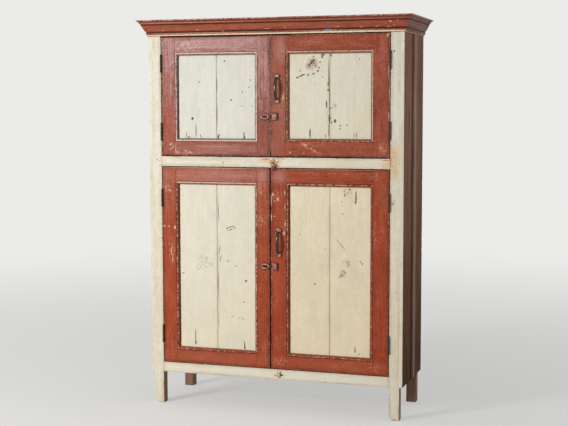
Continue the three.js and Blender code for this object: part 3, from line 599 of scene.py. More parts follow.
panelLooks = {
    "upper_left": {
        **panelBase, **tones("#dbd7c7", "#dad8cd", "#cfcec3", "#e2deca", "#cfcec3"), "levels": (1.3, 1.8)},
    "upper_right": {
        **panelBase, **tones("#e2d7bc", "#dcd6c3", "#e4d5b0", "#e8ddc0", "#d2cbb5"), "levels": (1.3, 1.8)},
    "lower_left": {
        **panelBase, **tones("#e6d9bd", "#e2dbc8", "#dad4c2", "#ecdfbd", "#d1cbb9"), "levels": (0.4, 1.1)},
    "lower_right": {
        **panelBase, **tones("#e7d6b5", "#e5d8ba", "#dccfb2", "#f0e0b8", "#d3c7ab"), "levels": (0.4, 1.1)},
}
panelMarks = {
    "upper_left": [
        ("#3c2a22", [
            (-420, 1437, 17.2, 17), (-250, 1717, 12, 9.2), (-217, 1528, 9.8, 13, 15), (-384, 1616, 12, 7),
            (-118, 1624, 8.4, 7), (-123, 1590, 8.4, 8), (-157, 1566, 7, 8.4), (-108, 1498, 6, 7), (-160, 1499, 7, 5),
            (-453, 1355, 4.2, 42), (-402, 1378, 5.6, 86), (-284, 1350, 9.8, 26, 15), (-150, 1358, 7, 40),
            (-376, 1350, 5.6, 24, -20), (-440, 1345, 12, 11.5), (-148, 1344, 11.5, 16), (-290, 1600, 3.5, 90),
            (-290, 1450, 3.5, 140)], 0.6, 0.92),
    ],
    "upper_right": [
        ("#a18b74", [(198, 1702, 60, 66, 25), (178, 1688, 42, 40), (214, 1692, 26, 34)], 1.3, 0.7),
        ("#8f7c62", [(284, 1445, 13.8, 60), (282, 1560, 9.2, 300)], 1.1, 0.6),
        ("#5a3526", [
            (123, 1634, 18, 9.8, -20), (151, 1646, 28, 9.2, -20), (140, 1641, 20, 8.4, -20), (176, 1646, 14, 10.3),
            (203, 1651, 16, 9.2, -20), (225, 1664, 11.5, 14, 20), (194, 1706, 13.8, 30, 30), (182, 1694, 11.5, 16),
            (206, 1716, 14, 9.2), (230, 1680, 8.4, 12), (203, 1733, 9.2, 8), (235, 1706, 9.8, 8),
            (250, 1635, 8.4, 6), (138, 1667, 7, 7), (429, 1718, 6, 7), (250, 1740, 26, 11.5),
            (246, 1730, 13.8, 14, 30), (290, 1738, 9.2, 20), (276, 1574, 10.3, 16), (268, 1507, 9.8, 44),
            (288, 1488, 16, 8.4), (310, 1427, 17.2, 22, 15), (282, 1440, 9.2, 34), (292, 1420, 9.2, 12),
            (276, 1600, 8.4, 26), (335, 1404, 8.4, 10), (335, 1391, 8.4, 8), (369, 1408, 8.4, 8),
            (186, 1367, 9.8, 56), (263, 1356, 4.2, 22), (403, 1358, 4.2, 34), (416, 1360, 4.2, 42),
            (278, 1650, 4.2, 160), (284, 1540, 4.2, 90), (278, 1380, 4.2, 80)], 0.7, 0.92),
    ],
    "lower_left": [
        ("#4b3a30", [
            (-202, 903, 5, 13, -30), (-240, 899, 6, 12, 20), (-220, 906, 42, 5.6, -22), (-222, 892, 34, 5.6, -22),
            (-241, 897, 7, 12), (-282, 790, 4.2, 50, 8), (-276, 748, 4.2, 46, 14), (-195, 712, 7, 8.4),
            (-237, 735, 9.8, 7), (-476, 666, 16, 7), (-143, 640, 14, 13.8), (-154, 535, 14, 5.6),
            (-413, 350, 5.6, 96), (-412, 320, 9.8, 30), (-152, 317, 7, 50), (-150, 304, 10.3, 18),
            (-286, 980, 3.5, 120), (-288, 620, 3.5, 160), (-287, 440, 2.8, 100)], 0.6, 0.9),
    ],
    "lower_right": [
        ("#4b3a30", [
            (360, 1075, 7, 22), (414, 1065, 8.4, 82), (412, 1040, 9.2, 20), (382, 1102, 10.3, 13),
            (345, 1042, 7, 8.4), (351, 984, 6, 7), (261, 813, 6, 7), (136, 881, 7, 5), (378, 752, 14, 9.2, -50),
            (341, 835, 3.5, 88, -42), (437, 757, 12, 5.6, 40), (446, 748, 5.6, 12), (211, 641, 12, 9.2, 35),
            (432, 311, 10, 5.6, 30), (412, 330, 5.6, 44)], 0.6, 0.9),
        ("#94897e", [(346, 690, 26, 27.6, 40), (356, 706, 22, 18.4, 30)], 1.2, 0.75),
        ("#5b4c44", [(338, 680, 16, 7, -40), (362, 700, 7, 14, 20)], 0.8, 0.7),
    ],
}
panelScuffs = {
    "upper_left": [
        ("#6d5a4a", [(-440, 1352, 60, 30), (-290, 1350, 40, 30)], 0.02, 0.7),
    ],
    "upper_right": [
        ("#6d5240", [(196, 1698, 60, 66, 20), (282, 1450, 30, 100), (300, 1500, 60, 26)], 0.034, 0.7),
    ],
    "lower_left": [
        ("#8a7a68", [(-200, 452, 130, 26), (-350, 730, 120, 60, 20), (-380, 700, 60, 40)], 0.02, 0.7),
    ],
    "lower_right": [
        ("#7d6c5c", [(372, 748, 60, 40), (350, 694, 50, 40), (380, 1090, 90, 60)], 0.022, 0.7),
    ],
}
corniceLook = {
    **redBase, **tones("#9c4b33", "#a15238", "#9a503a", "#ab6149", "#70301f"), "levels": (1.86, 2.1),
    "edgeWear": 0.24, "dustLevels": (2, 3), "rubbed": 0.5, "creaseDirtAndShade": "#33150b", "under": "#c99c80"}
corniceMarks = [
    # a dark line under the cap: painted shade
    ("#5a2718", [(0, 1909.5, 2600, 5)], 0.8, 0.7),
    ("#d3a48f", [(-400, 1903.5, 1200, 4), (330, 1903, 800, 3)], 1.2, 0.6),
    ("#b8643f", [(-40, 1884, 800, 24), (-300, 1874, 700, 8)], 1.4, 0.45),
    ("#d2a592", [(-330, 1853, 900, 6), (300, 1853.5, 700, 4)], 1.3, 0.6),
    ("#c07a5c", [
        (-330, 1883, 420, 3), (60, 1878, 360, 2.5), (380, 1886, 300, 2.5), (-120, 1874, 240, 2.5)], 1.4, 0.5),
    ("#c99b72", [(0, 1845.6, 2400, 8)], 0.5, 0.9),
    ("#e9dcc0", [(-560, 1846.4, 400, 5), (0, 1846, 1500, 6.5), (400, 1846.4, 900, 8.5)], 0.5, 0.9),
    ("#8d93a0", [(281, 1855, 55, 12)], 0.8, 1.0),
    ("#e0cdb8", [
        (584, 1889, 14, 8, 20), (560, 1878, 5, 5), (600, 1872, 6, 5), (540, 1885, 4, 4), (618, 1893, 6, 5),
        (575, 1866, 30, 3), (520, 1868, 26, 2.5), (-20, 1868, 40, 2.5), (70, 1871, 16, 2.5), (-380, 1868, 26, 3),
        (-560, 1869, 18, 3), (-250, 1862, 12, 4), (330, 1869, 14, 3), (440, 1866, 20, 3)], 0.9, 0.8),
]
brownLook = {
    **tones("#664536", "#755545", "#735647", "#7d5f4f", "#462f25"), "levels": (0.6, 1.9), "drift": 0.6, "cloud": 0.2,
    "bumpy": 0.35, "streak": 0.6, "blotch": 0.3, "mottle": 0.4, "grime": "#291b15", "dirt": 0.6, "speck": "#a58a72",
    "speckLevel": 1.05, "edgeWear": 0.12, "gritty": 0.3, "creaseDirtAndShade": "#1d1410", "rubbed": 0.0, "specular": 0.05,
    "under": "#a3836a", "wood": "#3d2a21", "chipLevel": 1.08, "gloss": 0.65, "scratch": "#8d7362", "hairLevel": 0.62,
    "dust": "#8c7264", "dusty": 0.3, "dustLevels": (0.5, 2)}


# What a door is made to: the moulding's width and depth, how far a panel reaches into its groove,
# the groove's depth and back, the lip behind it and the frame's thickness.
doorLook = {"moulding": 13, "mouldingDepth": 12, "tuck": 7, "groove": 9, "grooveBack": 20.6, "lip": 2,
            "thickness": 26, "seamCover": 8}


def panelEdges(door):
    # Where the moulding meets the panel: a painted black shadow line at the left, thin dark lines of dirt and painted
    # shade elsewhere.
    boxes = [nodeBox(f"{door}_panel_board_{edge}_side") for edge in ("hinge", "meeting")]
    low = np.min([box[0] for box in boxes], axis=0) + doorLook["tuck"]
    high = np.max([box[1] for box in boxes], axis=0) - doorLook["tuck"]
    shadow = 4.2 if door.endswith("left") else 3.2
    return [
        ("X", 1, low[0], shadow, "#1c150e", 0.97), ("X", -1, high[0], 2.5, "#6e4c39", 0.7),
        ("Z", -1, high[2], 4.0, "#66503f", 0.7), ("Z", 1, low[2], 2.5, "#6e4c39", 0.7)]


def seamMark(door):  # dirt and cracked paint along the joint of the panel's boards
    low, high = nodeBox(f"{door}_panel_board_hinge_side")
    seam = high[0] if door.endswith("left") else low[0]
    return ("#4d3a2e", [(seam, (low[2] + high[2]) / 2, 2.8, 2 * (high[2] - low[2]))], 1.5, 0.55)


noJoint = 900  # a level far behind the cupboard
creamPaint = paintMaterial("oilPaintCream", creamLook, carcassMarks, bare={
    "level": front, "wood": "#a47c68", "dark": "#7f5d4b", "low": 0.3, "joint": noJoint})
sidePaint = paintMaterial("oilPaintCreamSide", {**creamLook, "specular": 0.015}, bare={
    "level": front, "wood": "#ae7f64", "dark": "#543521", "low": 0.94, "joint": -7})
brownStain = paintMaterial("stainedSoftwood", brownLook)
insideWood = {"level": front + 20, "wood": "#9d7959", "dark": "#73543c", "low": 0.3, "joint": noJoint}
panelBack = {**insideWood, "level": front + 17}
redPaints, panelPaints = {}, {}
for door, look in redLooks.items():
    redPaints[door] = paintMaterial(f"oilPaintRed_{door}", look, redMarks[door], redScuffs[door], insideWood)
for door, look in panelLooks.items():
    marks = panelMarks[door] + [seamMark(door)]
    panelPaints[door] = paintMaterial(
        f"oilPaintPanel_{door}", look, marks, panelScuffs[door], panelBack, panelEdges(door))
mouldingLooks = {  # paint, bare rims, then the wear of the rims at the left, right, bottom and top
    "upper_left": ("#b08476", "#d9c3b4", (1.07, 1.12, 1.2, 1.16)),
    "upper_right": ("#a97053", "#c9a88e", (0.95, 1.13, 0.95, 1.13)),
    "lower_left": ("#ae4c2a", "#d5b7a8", (0.95, 0.98, 0.9, 1.18)),
    "lower_right": ("#a54523", "#cda089", (1.0, 0.9, 0.96, 1.0)),
}
mouldingPaints = {}
for door, (paint, rim, _) in mouldingLooks.items():
    look = {**redLooks[door], "paint": paint, "above": paint, "faded": paint,
            "dusty": 0.2, "rubbed": 0.85, "under": rim}
    mouldingPaints[door] = paintMaterial(f"oilPaintMoulding_{door}", look, bare=insideWood)
cornicePaint = paintMaterial("oilPaintCornice", corniceLook, corniceMarks)
returnPaint = paintMaterial("oilPaintCorniceReturn", {
    **corniceLook, **tones("#a06c5a", "#a87665", "#a37868", "#b58979", "#6a4439"), "creaseDirtAndShade": "#432d26",
    "under": "#d8c2b2", "specular": 0.04, "mottle": 0.6, "gritty": 0.7, "edgeWear": 0.42, "dust": "#b39a90",
    "dustLevels": (1.7, 1.9), "rubbed": 0.8})


def bareWoodMaterial(name):
    # Unpainted softwood gone grey-brown with age and dust: dull, with dark grain lines. Its grain
    # runs along X.
    material, tree = newMaterial(name, "#8d6f54")
    turned = addNode(tree, "Mapping", {
        "Vector": (addNode(tree, "TexCoord"), "Object"), "Rotation": (0, math.pi / 2, 0)})
    lay = layPatterns(tree, turned, woodPatterns)
    colour = layOver(tree, hexColor("#937457"), [
        ("#a98b6b", lay["patches"], 0.45, 0.7, 0.7), ("#6b5040", lay["streaks"], 0.45, 0.7, 0.7),
        ("#5a4233", lay["fine"], 0.5, 0.7, 0.5), ("#4a372b", lay["mottle"], 0.55, 0.75, 0.5),
    ])
    finishMaterial(tree, colour, [(lay["fine"], 0.4), (lay["streaks"], 0.6)], 0.8)
    return material


def ironMaterial(name, base, light, rust, metallic, gloss, rimCode, specular=0.5):
    # Wrought iron blackened by handling: dark, half polished on the high spots, rust in patches,
    # and bare where its rims (arris 1) are rubbed.
    material, tree = newMaterial(name, base)
    place = (addNode(tree, "TexCoord"), "Object")
    arris = (addNode(tree, "Attribute", attribute_name="arris"), "Fac")
    lay = layPatterns(tree, place, {"patches": ((11, 11, 16), 4.0), "pits": ((1.6, 1.6, 1.6), 3.0)})
    rimAt = addUp(tree, [(lay["patches"], 0.5), (arris, 1.0)])
    colour = layOver(tree, hexColor(base), [
        (light, lay["patches"], 0.5, 0.62, 0.8), (rust, lay["patches"], 0.47, 0.36, 0.8),
        (rust, lay["pits"], 0.55, 0.65, 0.5), (rimCode, rimAt, 0.7, 0.95, 0.95)])
    shine = {"Metallic": metallic, "Specular IOR Level": specular}
    finishMaterial(tree, colour, [(lay["pits"], 0.12), (lay["patches"], 0.3)], gloss, **shine)
    return material


hingeIron = ironMaterial("rustedIron", "#1b1411", "#2c2320", "#33201a", 0.0, 0.65, "#140e0c")
bareWood = bareWoodMaterial("agedSoftwoodLevel")
darkIron = ironMaterial("wroughtIron", "#2b1812", "#44302a", "#402217", 0.0, 0.22, "#170d0a", 0.42)
paintedIron = ironMaterial("paintedIron", "#ac604d", "#e2b9a8", "#6e382a", 0.0, 0.4, "#1c100c", 0.3)
nailSteel = ironMaterial("nailSteel", "#b9b8b4", "#dadcdc", "#8a5a3c", 0.4, 0.3, "#b9b8b4")
print("materials ready")

# ---- carcass

postLook = {"across": 6, "radius": 1.6, "chip": 2.0}
footChip = {"wide": 18, "high": 20, "deep": 30, "reach": 1.4, "shift": 0.55}
sideLook = {"radius": 0.8, "lap": 2.2}  # each side's joint with the post is painted over
for node in ("front_left_post", "front_right_post", "back_left_post", "back_right_post"):
    low, high = nodeBox(node)
    outer = low if "left" in node else high
    shape = board(low, high, 2, meets=[(0, outer[0])], **postLook)
    if node == "front_right_post":  # split away at the foot's inner front corner
        points = shape["points"]
        past = 1 - (points[:, 0] - low[0]) / footChip["wide"] - (points[:, 2] - low[2]) / footChip["high"]
        reach = np.clip(footChip["reach"] - (points[:, 1] - front) / footChip["deep"], 0, 1)
        past = np.clip(past, 0, 1) * reach
        points[:, 0] += past * footChip["wide"] * footChip["shift"]
        points[:, 2] += past * footChip["high"] * footChip["shift"]
    makePiece("painted_" + node, [shape], creamPaint, "cupboard", "cream_paint", node)

for node in ("front_bottom_rail", "front_middle_rail", "front_top_rail"):
    low, high = nodeBox(node)
    low[0], high[0] = nodeBox("front_left_post")[1][0], nodeBox("front_right_post")[0][0]
    makePiece("painted_" + node, [board(low, high, 0, **postLook)], creamPaint, "cupboard", "cream_paint", node)

for node in ("left_side_front_board", "left_side_back_board", "right_side_front_board", "right_side_back_board"):
    low, high = nodeBox(node)
    inner, outwards = (low, 1) if node.startswith("right") else (high, -1)
    inner[0] -= sideLook["lap"] * outwards
    shape = board(low, high, 2, radius=sideLook["radius"], meets=[(0, inner[0]), (1, front)])
    makePiece("stained_" + node, [shape], sidePaint, "cupboard", "brown_stain", node)


tongueLook = {"across": 80, "along": 80, "chip": 0}
plankLook = {"across": 24, "along": 12}
plankGap, plankInset, panelInset = 1.2, 4, 0.5


def tongue(low, high, thin, grainAxis, inset):
    # A sheet in the middle of boards, 1 mm to either side of it, so that no light falls through
    # their joints.
    low, high = low + inset, high - inset
    low[thin], high[thin] = (low[thin] + high[thin]) / 2 - 1, (low[thin] + high[thin]) / 2 + 1
    return board(low, high, grainAxis, **tongueLook)


def planks(node, axis, count):
    # A boarded face as separate planks of one width, a gap apart.
    low, high = nodeBox(node)
    edges = np.linspace(low[axis], high[axis], count + 1)
    grainAxis = 2 if node == "back_boards" else 0
    shapes = [tongue(low, high, 3 - axis - grainAxis, grainAxis, plankInset)]
    for start, end in zip(edges[:-1], edges[1:]):
        plankLow, plankHigh = low.copy(), high.copy()
        plankLow[axis] = start + (plankGap / 2 if start > low[axis] else 0)
        plankHigh[axis] = end - (plankGap / 2 if end < high[axis] else 0)
        shapes.append(board(plankLow, plankHigh, grainAxis, **plankLook))
    return shapes


makePiece("backPlanks", planks("back_boards", 0, 6), brownStain, "cupboard", "bare_wood", "back_boards")
makePiece("topPlanks", planks("top_board", 1, 3), brownStain, "cupboard", "bare_wood", "top_board")
for node in ("bottom_board", "middle_board", "upper_shelf", "lower_shelf_1", "lower_shelf_2",
             "back_bottom_rail", "back_top_rail"):
    coat(node, bareWood)
print("carcass ready")

# ---- cornice

cornice = {"front": 46, "side": 48, "height": 79, "step": 7, "wave": 0.5, "chip": 2.4}
corniceRuns = [  # (out, up) as shares, steps and the wear where the run begins: 1 rubbed, -1 a dark line of dirt and painted shade in the crease
    ([(0, 0), (0.09, 0)], 1, -1),
    ([(0.09, 0), (0.09, 0.018)], 1, -1),
    ([(0.09, 0.02), (0.09, 0.05), (0.09, 0.1)], 2, 0.2),
    ([(0.095, 0.105), (0.17, 0.12), (0.22, 0.16), (0.205, 0.205)], 3, 0.2),
    ([(0.2, 0.21), (0.17, 0.25), (0.19, 0.29)], 3, -1.0),
    ([(0.22, 0.295), (0.28, 0.32), (0.35, 0.385)], 2, 0.96),
    ([(0.35, 0.385), (0.45, 0.5), (0.54, 0.6), (0.62, 0.67)], 3, 0.3),
    ([(0.615, 0.675), (0.6, 0.71), (0.62, 0.745)], 3, -1.0),
    ([(0.66, 0.75), (0.72, 0.765), (0.76, 0.81)], 2, 1.02),
    ([(0.76, 0.815), (0.78, 0.86), (0.84, 0.89)], 3, -0.62),
    ([(0.84, 0.89), (0.92, 0.9), (0.975, 0.925)], 3, -0.3),
    ([(0.975, 0.925), (1, 0.955)], 1, 0.98),
    ([(1, 0.96), (0.985, 1)], 1, 1.05),
    ([(0.985, 1), (0.5, 1), (0, 1)], 1, 1.05),
]


def corniceSection():  # the dark lines, dirt and painted shade in the creases, stay dark over their whole run
    points, arris = [], []
    for run, steps, edge in corniceRuns:
        curve = curveThrough(run, steps)
        points.append(curve[:-1])
        first = np.arange(len(curve) - 1) == 0
        arris.append(np.where(first | (edge < -0.9), edge, 0.3))
    return np.concatenate(points + [[(0, 1)]]), np.concatenate(arris + [[0.3]])


def corniceLength(towards):
    # The section carried along the front (towards 0) or back along a side (-1 or 1). Each end at a
    # corner is cut to the mitre, where both ways out grow together.
    section, arris = corniceSection()
    out, up = section[:, 0], section[:, 1]
    if towards != 0:
        arris = np.where(up < 0.1, 0.97, arris)  # the returns' bottom rim is chipped
    bodyLow, bodyHigh = nodeBox("top_board")
    rise = nodeBox("front_cornice")[0][2] + up * cornice["height"]
    if towards == 0:
        ends = [bodyLow[0] - out * cornice["side"], bodyHigh[0] + out * cornice["side"]]
        fixed = front - out * cornice["front"]
    else:
        ends = [front - out * cornice["front"], np.full(len(out), bodyHigh[1])]
        fixed = towards * (bodyHigh[0] + out * cornice["side"])
    rows = round(abs(ends[1][0] - ends[0][0]) / cornice["step"])
    share = np.linspace(0, 1, rows + 1)[:, None]
    along = ends[0] + share * (ends[1] - ends[0])
    fixed, rise = np.broadcast_to(fixed, along.shape), np.broadcast_to(rise, along.shape)
    rings = np.stack([along, fixed, rise] if towards == 0 else [fixed, along, rise], axis=-1)
    worn = cornice["wave"] * (0.5 + 0.5 * smoothNoise(rings, 140))
    nicks = smoothNoise(rings, 9) + 0.8 * smoothNoise(rings, 80)
    chips = cornice["chip"] * np.clip(nicks - 0.6, 0, 0.6) * (arris > 1) * (out > 0.85)
    worn = (worn + chips) * (out > 0.05)  # the section's back stays flat
    rings[:, :, 1 if towards == 0 else 0] += worn if towards == 0 else -towards * worn
    return skin(rings, grainAxis=0 if towards == 0 else 1, arris=arris)


makePiece("frontCornice", [corniceLength(0)], cornicePaint, "cupboard", "red_paint", "front_cornice")
makePiece("leftCornice", [corniceLength(-1)], returnPaint, "cupboard", "red_paint", "left_cornice")
makePiece("rightCornice", [corniceLength(1)], returnPaint, "cupboard", "red_paint", "right_cornice")
print("cornice ready")

# ---- doors

quirk = [(-13, 0.3), (-12.4, 0.1), (-12.0, 1.4), (-11.4, 1.5)]
quarterRound = {"width": 11, "start": 0.6, "rise": 8.4}
# 1 is rubbed; -1 marks the quirk and the groove, painted dark as dirt and painted shade in the crease
mouldingRubAndCreaseShade = [-1, -1, -1, -0.6] + [1, 1, 1, 0.85, 0.6, 0.4, 0.3, 0.1] + [-1] + [0.3] * 6
panelBoardLook = {"radius": 0.9, "wave": 0.5, "chip": 1.6, "chipLevel": 0.35, "waveSize": 160, "arrisReach": 4}


def mouldingSection():
    # From the frame's face: the quirk, then a flat quarter round, width * (sin a - 1) across and
    # start + rise * (1 - cos a) down, that stops 3 mm above the panel, then the groove that holds
    # the panel and the lip behind it. The first value is measured inwards from the opening.
    turn = np.radians(np.linspace(0, 90, 8))
    across = quarterRound["width"] * (np.sin(turn) - 1)
    down = quarterRound["start"] + quarterRound["rise"] * (1 - np.cos(turn))
    width, depth, groove, back, lip, thick = [
        doorLook[key] for key in ("moulding", "mouldingDepth", "groove", "grooveBack", "lip", "thickness")]
    rest = [(0, depth), (-groove, depth), (-groove, back), (-lip, back), (-lip, thick),
            (-width, thick), (-width, depth)]
    return np.concatenate([quirk, np.stack([across, down], axis=-1), rest]), np.array(mouldingRubAndCreaseShade)


def mouldings(openLow, openHigh, face, wear):
    # The section carried along each side of the opening, its ends mitred: every point of it runs on
    # past the opening as far as it stands outside.
    section, arris = mouldingSection()
    inset, depth = section[:, 0], section[:, 1]
    shapes = []
    for axis, other in ((0, 2), (2, 0)):
        middle, half = (openLow[axis] + openHigh[axis]) / 2, (openHigh[axis] - openLow[axis]) / 2
        share = np.linspace(-1, 1, round(half / 3) + 1)[:, None]
        along = middle + share * (half - inset)
        rubbedLow, rubbedHigh = wear[2:] if axis == 0 else wear[:2]
        for edge, way, rubbed in ((openLow[other], 1, rubbedLow), (openHigh[other], -1, rubbedHigh)):
            rings = np.zeros(along.shape + (3,))
            rings[:, :, axis] = along
            rings[:, :, other] = edge + way * inset
            rings[:, :, 1] = face + depth
            worn = np.clip(smoothNoise(rings, 6) + 0.8 * smoothNoise(rings, 50) - 0.5, 0, 1) * (arris > 0.9)
            wave = (depth < doorLook["mouldingDepth"]) * 0.2 * (1 + smoothNoise(rings, 60))
            rings[:, :, 1] += worn * 1.2 + wave
            shapes.append(skin(rings, grainAxis=axis, arris=np.where(arris == 1, rubbed, arris)))
    return shapes


def makeDoor(row, side):
    door = f"{row}_{side}"
    body = door + "_door"
    low, high = nodeBox(body + "_frame")
    boards = [f"{door}_panel_board_{edge}_side" for edge in ("hinge", "meeting")]
    boxes = [nodeBox(node) for node in boards]
    openLow = np.min([box[0] for box in boxes], axis=0) + doorLook["tuck"]
    openHigh = np.max([box[1] for box in boxes], axis=0) - doorLook["tuck"]
    insideLow, insideHigh = openLow - doorLook["moulding"], openHigh + doorLook["moulding"]
    y0, y1 = low[1], high[1]
    left, right = [(0, insideLow[0])], [(0, insideHigh[0])]
    ends, bottom, top = left + right, [(2, insideLow[2])], [(2, insideHigh[2])]
    frameBoards = [
        board((low[0], y0, low[2]), (insideLow[0], y1, high[2]), 2, meets=left),
        board((insideHigh[0], y0, low[2]), (high[0], y1, high[2]), 2, meets=right),
        board((insideLow[0], y0, low[2]), (insideHigh[0], y1, insideLow[2]), 0, meets=ends + bottom),
        board((insideLow[0], y0, insideHigh[2]), (insideHigh[0], y1, high[2]), 0, meets=ends + top),
    ]
    makePiece(door + "_framing", frameBoards, redPaints[door], body, "red_paint", body + "_frame")
    edges = mouldings(openLow, openHigh, y0, mouldingLooks[door][2])
    makePiece(door + "_mouldings", edges, mouldingPaints[door], body, "red_paint", body + "_frame")
    for node, (boardLow, boardHigh) in zip(boards, boxes):
        shape = board(boardLow, boardHigh, 2, **panelBoardLook)
        makePiece("painted_" + node, [shape], panelPaints[door], body, "panel_paint", node)
    (panelLow, panelHigh), cover = boxes[0], doorLook["seamCover"]
    seam = panelHigh[0] if side == "left" else panelLow[0]
    behind = tongue(np.array([seam - cover, panelLow[1], openLow[2]]),
                    np.array([seam + cover, panelHigh[1], openHigh[2]]), 1, 2, panelInset)
    makePiece(door + "_panelTongue", [behind], brownStain, body, "panel_paint", boards[0])
    for place in ("top", "bottom"):
        for leaf in ("post", "door"):
            coat(f"{door}_{place}_hinge_{leaf}_leaf", hingeIron)


for row in ("upper", "lower"):
    for side in ("left", "right"):
        makeDoor(row, side)
print("doors ready")

# ---- handles and latches

handle = {"spacing": 120, "plateWidth": 36, "plateHeight": 23, "seat": 1.2, "reach": 25.5, "span": 108,
          "halfWidth": 8.2, "halfThick": 4.2, "fullness": 0.92, "endShare": 0.5, "steps": 41,
          "screwOut": 11.4, "screwRadius": 3.5, "screwRise": 2.3, "sink": 12}
# Profiles are (share of the outline, rise) for each layer.
handlePlate = ((1, 0), (1, 0.9), (0.93, 1.6), (0.84, 2.0), (0.35, 2.4))
screwSink = ((1, 1), (1, 2.1), (0.88, 2.4))
screwDome = ((1, 0), (1, 0.5), (0.7, 1.1))


def screwHead(x, z, back, radius, turn, slot=0.5):
    # Two half moons either side of the slot, each domed.
    shapes = []
    for way in (0, math.pi):
        edge = math.asin(slot / radius)
        arc = np.linspace(edge, math.pi - edge, 9) + way + turn
        outline = np.stack([x + radius * np.cos(arc), z + radius * np.sin(arc)], axis=-1)
        shapes.append(plate(outline, back, screwDome))
    return shapes


def makeHandle(row):
    # The bow's path is (reach * cos^f a, span / 2 * sin^f a), with f its fullness, and its section
    # shrinks by endShare + (1 - endShare) * cos a towards the ends.
    node, body = f"{row}_pull_handle", f"{row}_right_door"
    low, high = nodeBox(node)
    x, z, back = (low[0] + high[0]) / 2, (low[2] + high[2]) / 2, high[1]
    angle = np.radians(np.linspace(-90, 90, handle["steps"])) * 0.998
    bend = [np.sign(f(angle)) * np.abs(f(angle)) ** handle["fullness"] for f in (np.cos, np.sin)]
    out, rise = handle["reach"] * bend[0], handle["span"] / 2 * bend[1]
    path = np.stack([np.full(len(angle), x), back - handle["seat"] - out, z + rise], axis=-1)
    swell = handle["endShare"] + (1 - handle["endShare"]) * np.cos(angle)
    radii = np.stack([handle["halfWidth"] * swell, handle["halfThick"] * swell], axis=-1)
    makePiece(row + "_handleBow", [tube(path, (1, 0, 0), radii, 18)], darkIron, body, "dark_iron", node)
    plates, sinks = [], []
    for end in (-1, 1):
        at = z + end * handle["spacing"] / 2
        plates.append(plate(ovalOutline(x, at, handle["plateWidth"], handle["plateHeight"]), back, handlePlate))
        for way in (-1, 1):  # a painted screw in a dark sink
            screwX = x + way * handle["screwOut"]
            sinks.append(plate(ovalOutline(screwX, at, handle["sink"], handle["sink"], 20), back, screwSink))
            plates += screwHead(screwX, at, back - handle["screwRise"], handle["screwRadius"], 0.6 * way + end)
    makePiece(row + "_handlePlates", plates, paintedIron, body, "dark_iron", node)
    makePiece(row + "_handleScrews", sinks, darkIron, body, "dark_iron", node)


hasp = {"reach": 64, "radius": 3.1, "middle": 13, "end": 12.2, "gap": 0.3, "plateHeight": 38, "plateThick": 1.8,
        "thick": 2, "rootLength": 22, "rootHeight": 32, "neck": 18, "neckThick": 1.9, "neckFrom": 14, "neckTo": 8,
        "eyeWidth": 46, "eyeHeight": 31, "slotWidth": 25, "slotHeight": 7}
eyeProfile = ((0, 1), (0, 0.2), (0.06, 0), (0.36, 0), (0.72, 0), (0.92, 0), (1, 0.2), (1, 1))  # share out, depth
eyeWear = (1, 1, 0.9, 0.3, 0.2, 0.9, 1, 1)
staple = {"wire": 2, "legs": 17, "sunk": 0.8}
staplePlate = ((1, 0), (1, 1), (0.93, 1.7), (0.6, 1.8))


def upright(x, y, radius, z0, z1):
    # A round bar on end, its rims rounded off.
    path = np.array([(x, y, z) for z in (z0, z0 + 0.3, z0 + 0.9, z1 - 0.9, z1 - 0.3, z1)])
    radii = radius * np.array([0.8, 0.94, 1, 1, 0.94, 0.8])
    return tube(path, (1, 0, 0), np.stack([radii, radii], axis=-1), 20)


def slab(x0, x1, z0, z1, y, thick, corner=2.5):
    # A flat bar with round corners in its outline and softened faces, its back at y.
    turn = np.radians(np.linspace(0, 90, 5))
    quarter = np.stack([np.cos(turn), np.sin(turn)], axis=-1) * corner
    left, right, low, high = x0 + corner, x1 - corner, z0 + corner, z1 - corner
    outline = []
    for quadrant, middle in enumerate(((right, high), (left, high), (left, low), (right, low))):
        c, s = math.cos(quadrant * math.pi / 2), math.sin(quadrant * math.pi / 2)
        outline.append(quarter @ np.array([[c, s], [-s, c]]) + middle)
    face = ((0.98, 0), (1, 0.3), (1, thick - 0.3), (0.97, thick), (0.84, thick), (0.4, thick))
    return plate(np.concatenate(outline), y, face)


def eyeRing(x, z, y):
    # The hasp's eye: a small rounded section carried once round the slot, from the slot's edge out
    # to the eye's.
    turn = np.linspace(0, 2 * np.pi, 44, endpoint=False)
    inner = np.stack([hasp["slotWidth"] / 2 * np.cos(turn), hasp["slotHeight"] / 2 * np.sin(turn)], axis=-1)
    outer = np.stack([hasp["eyeWidth"] / 2 * np.cos(turn), hasp["eyeHeight"] / 2 * np.sin(turn)], axis=-1)
    rings = []
    for share, deep in eyeProfile:
        flat = inner + (outer - inner) * share
        depth = np.full(len(turn), y - hasp["thick"] / 2 + hasp["thick"] * deep)
        rings.append(np.stack([x + flat[:, 0], depth, z + flat[:, 1]], axis=-1))
    return skin(np.array(rings).transpose(1, 0, 2), wraps=True, arris=np.array(eyeWear))


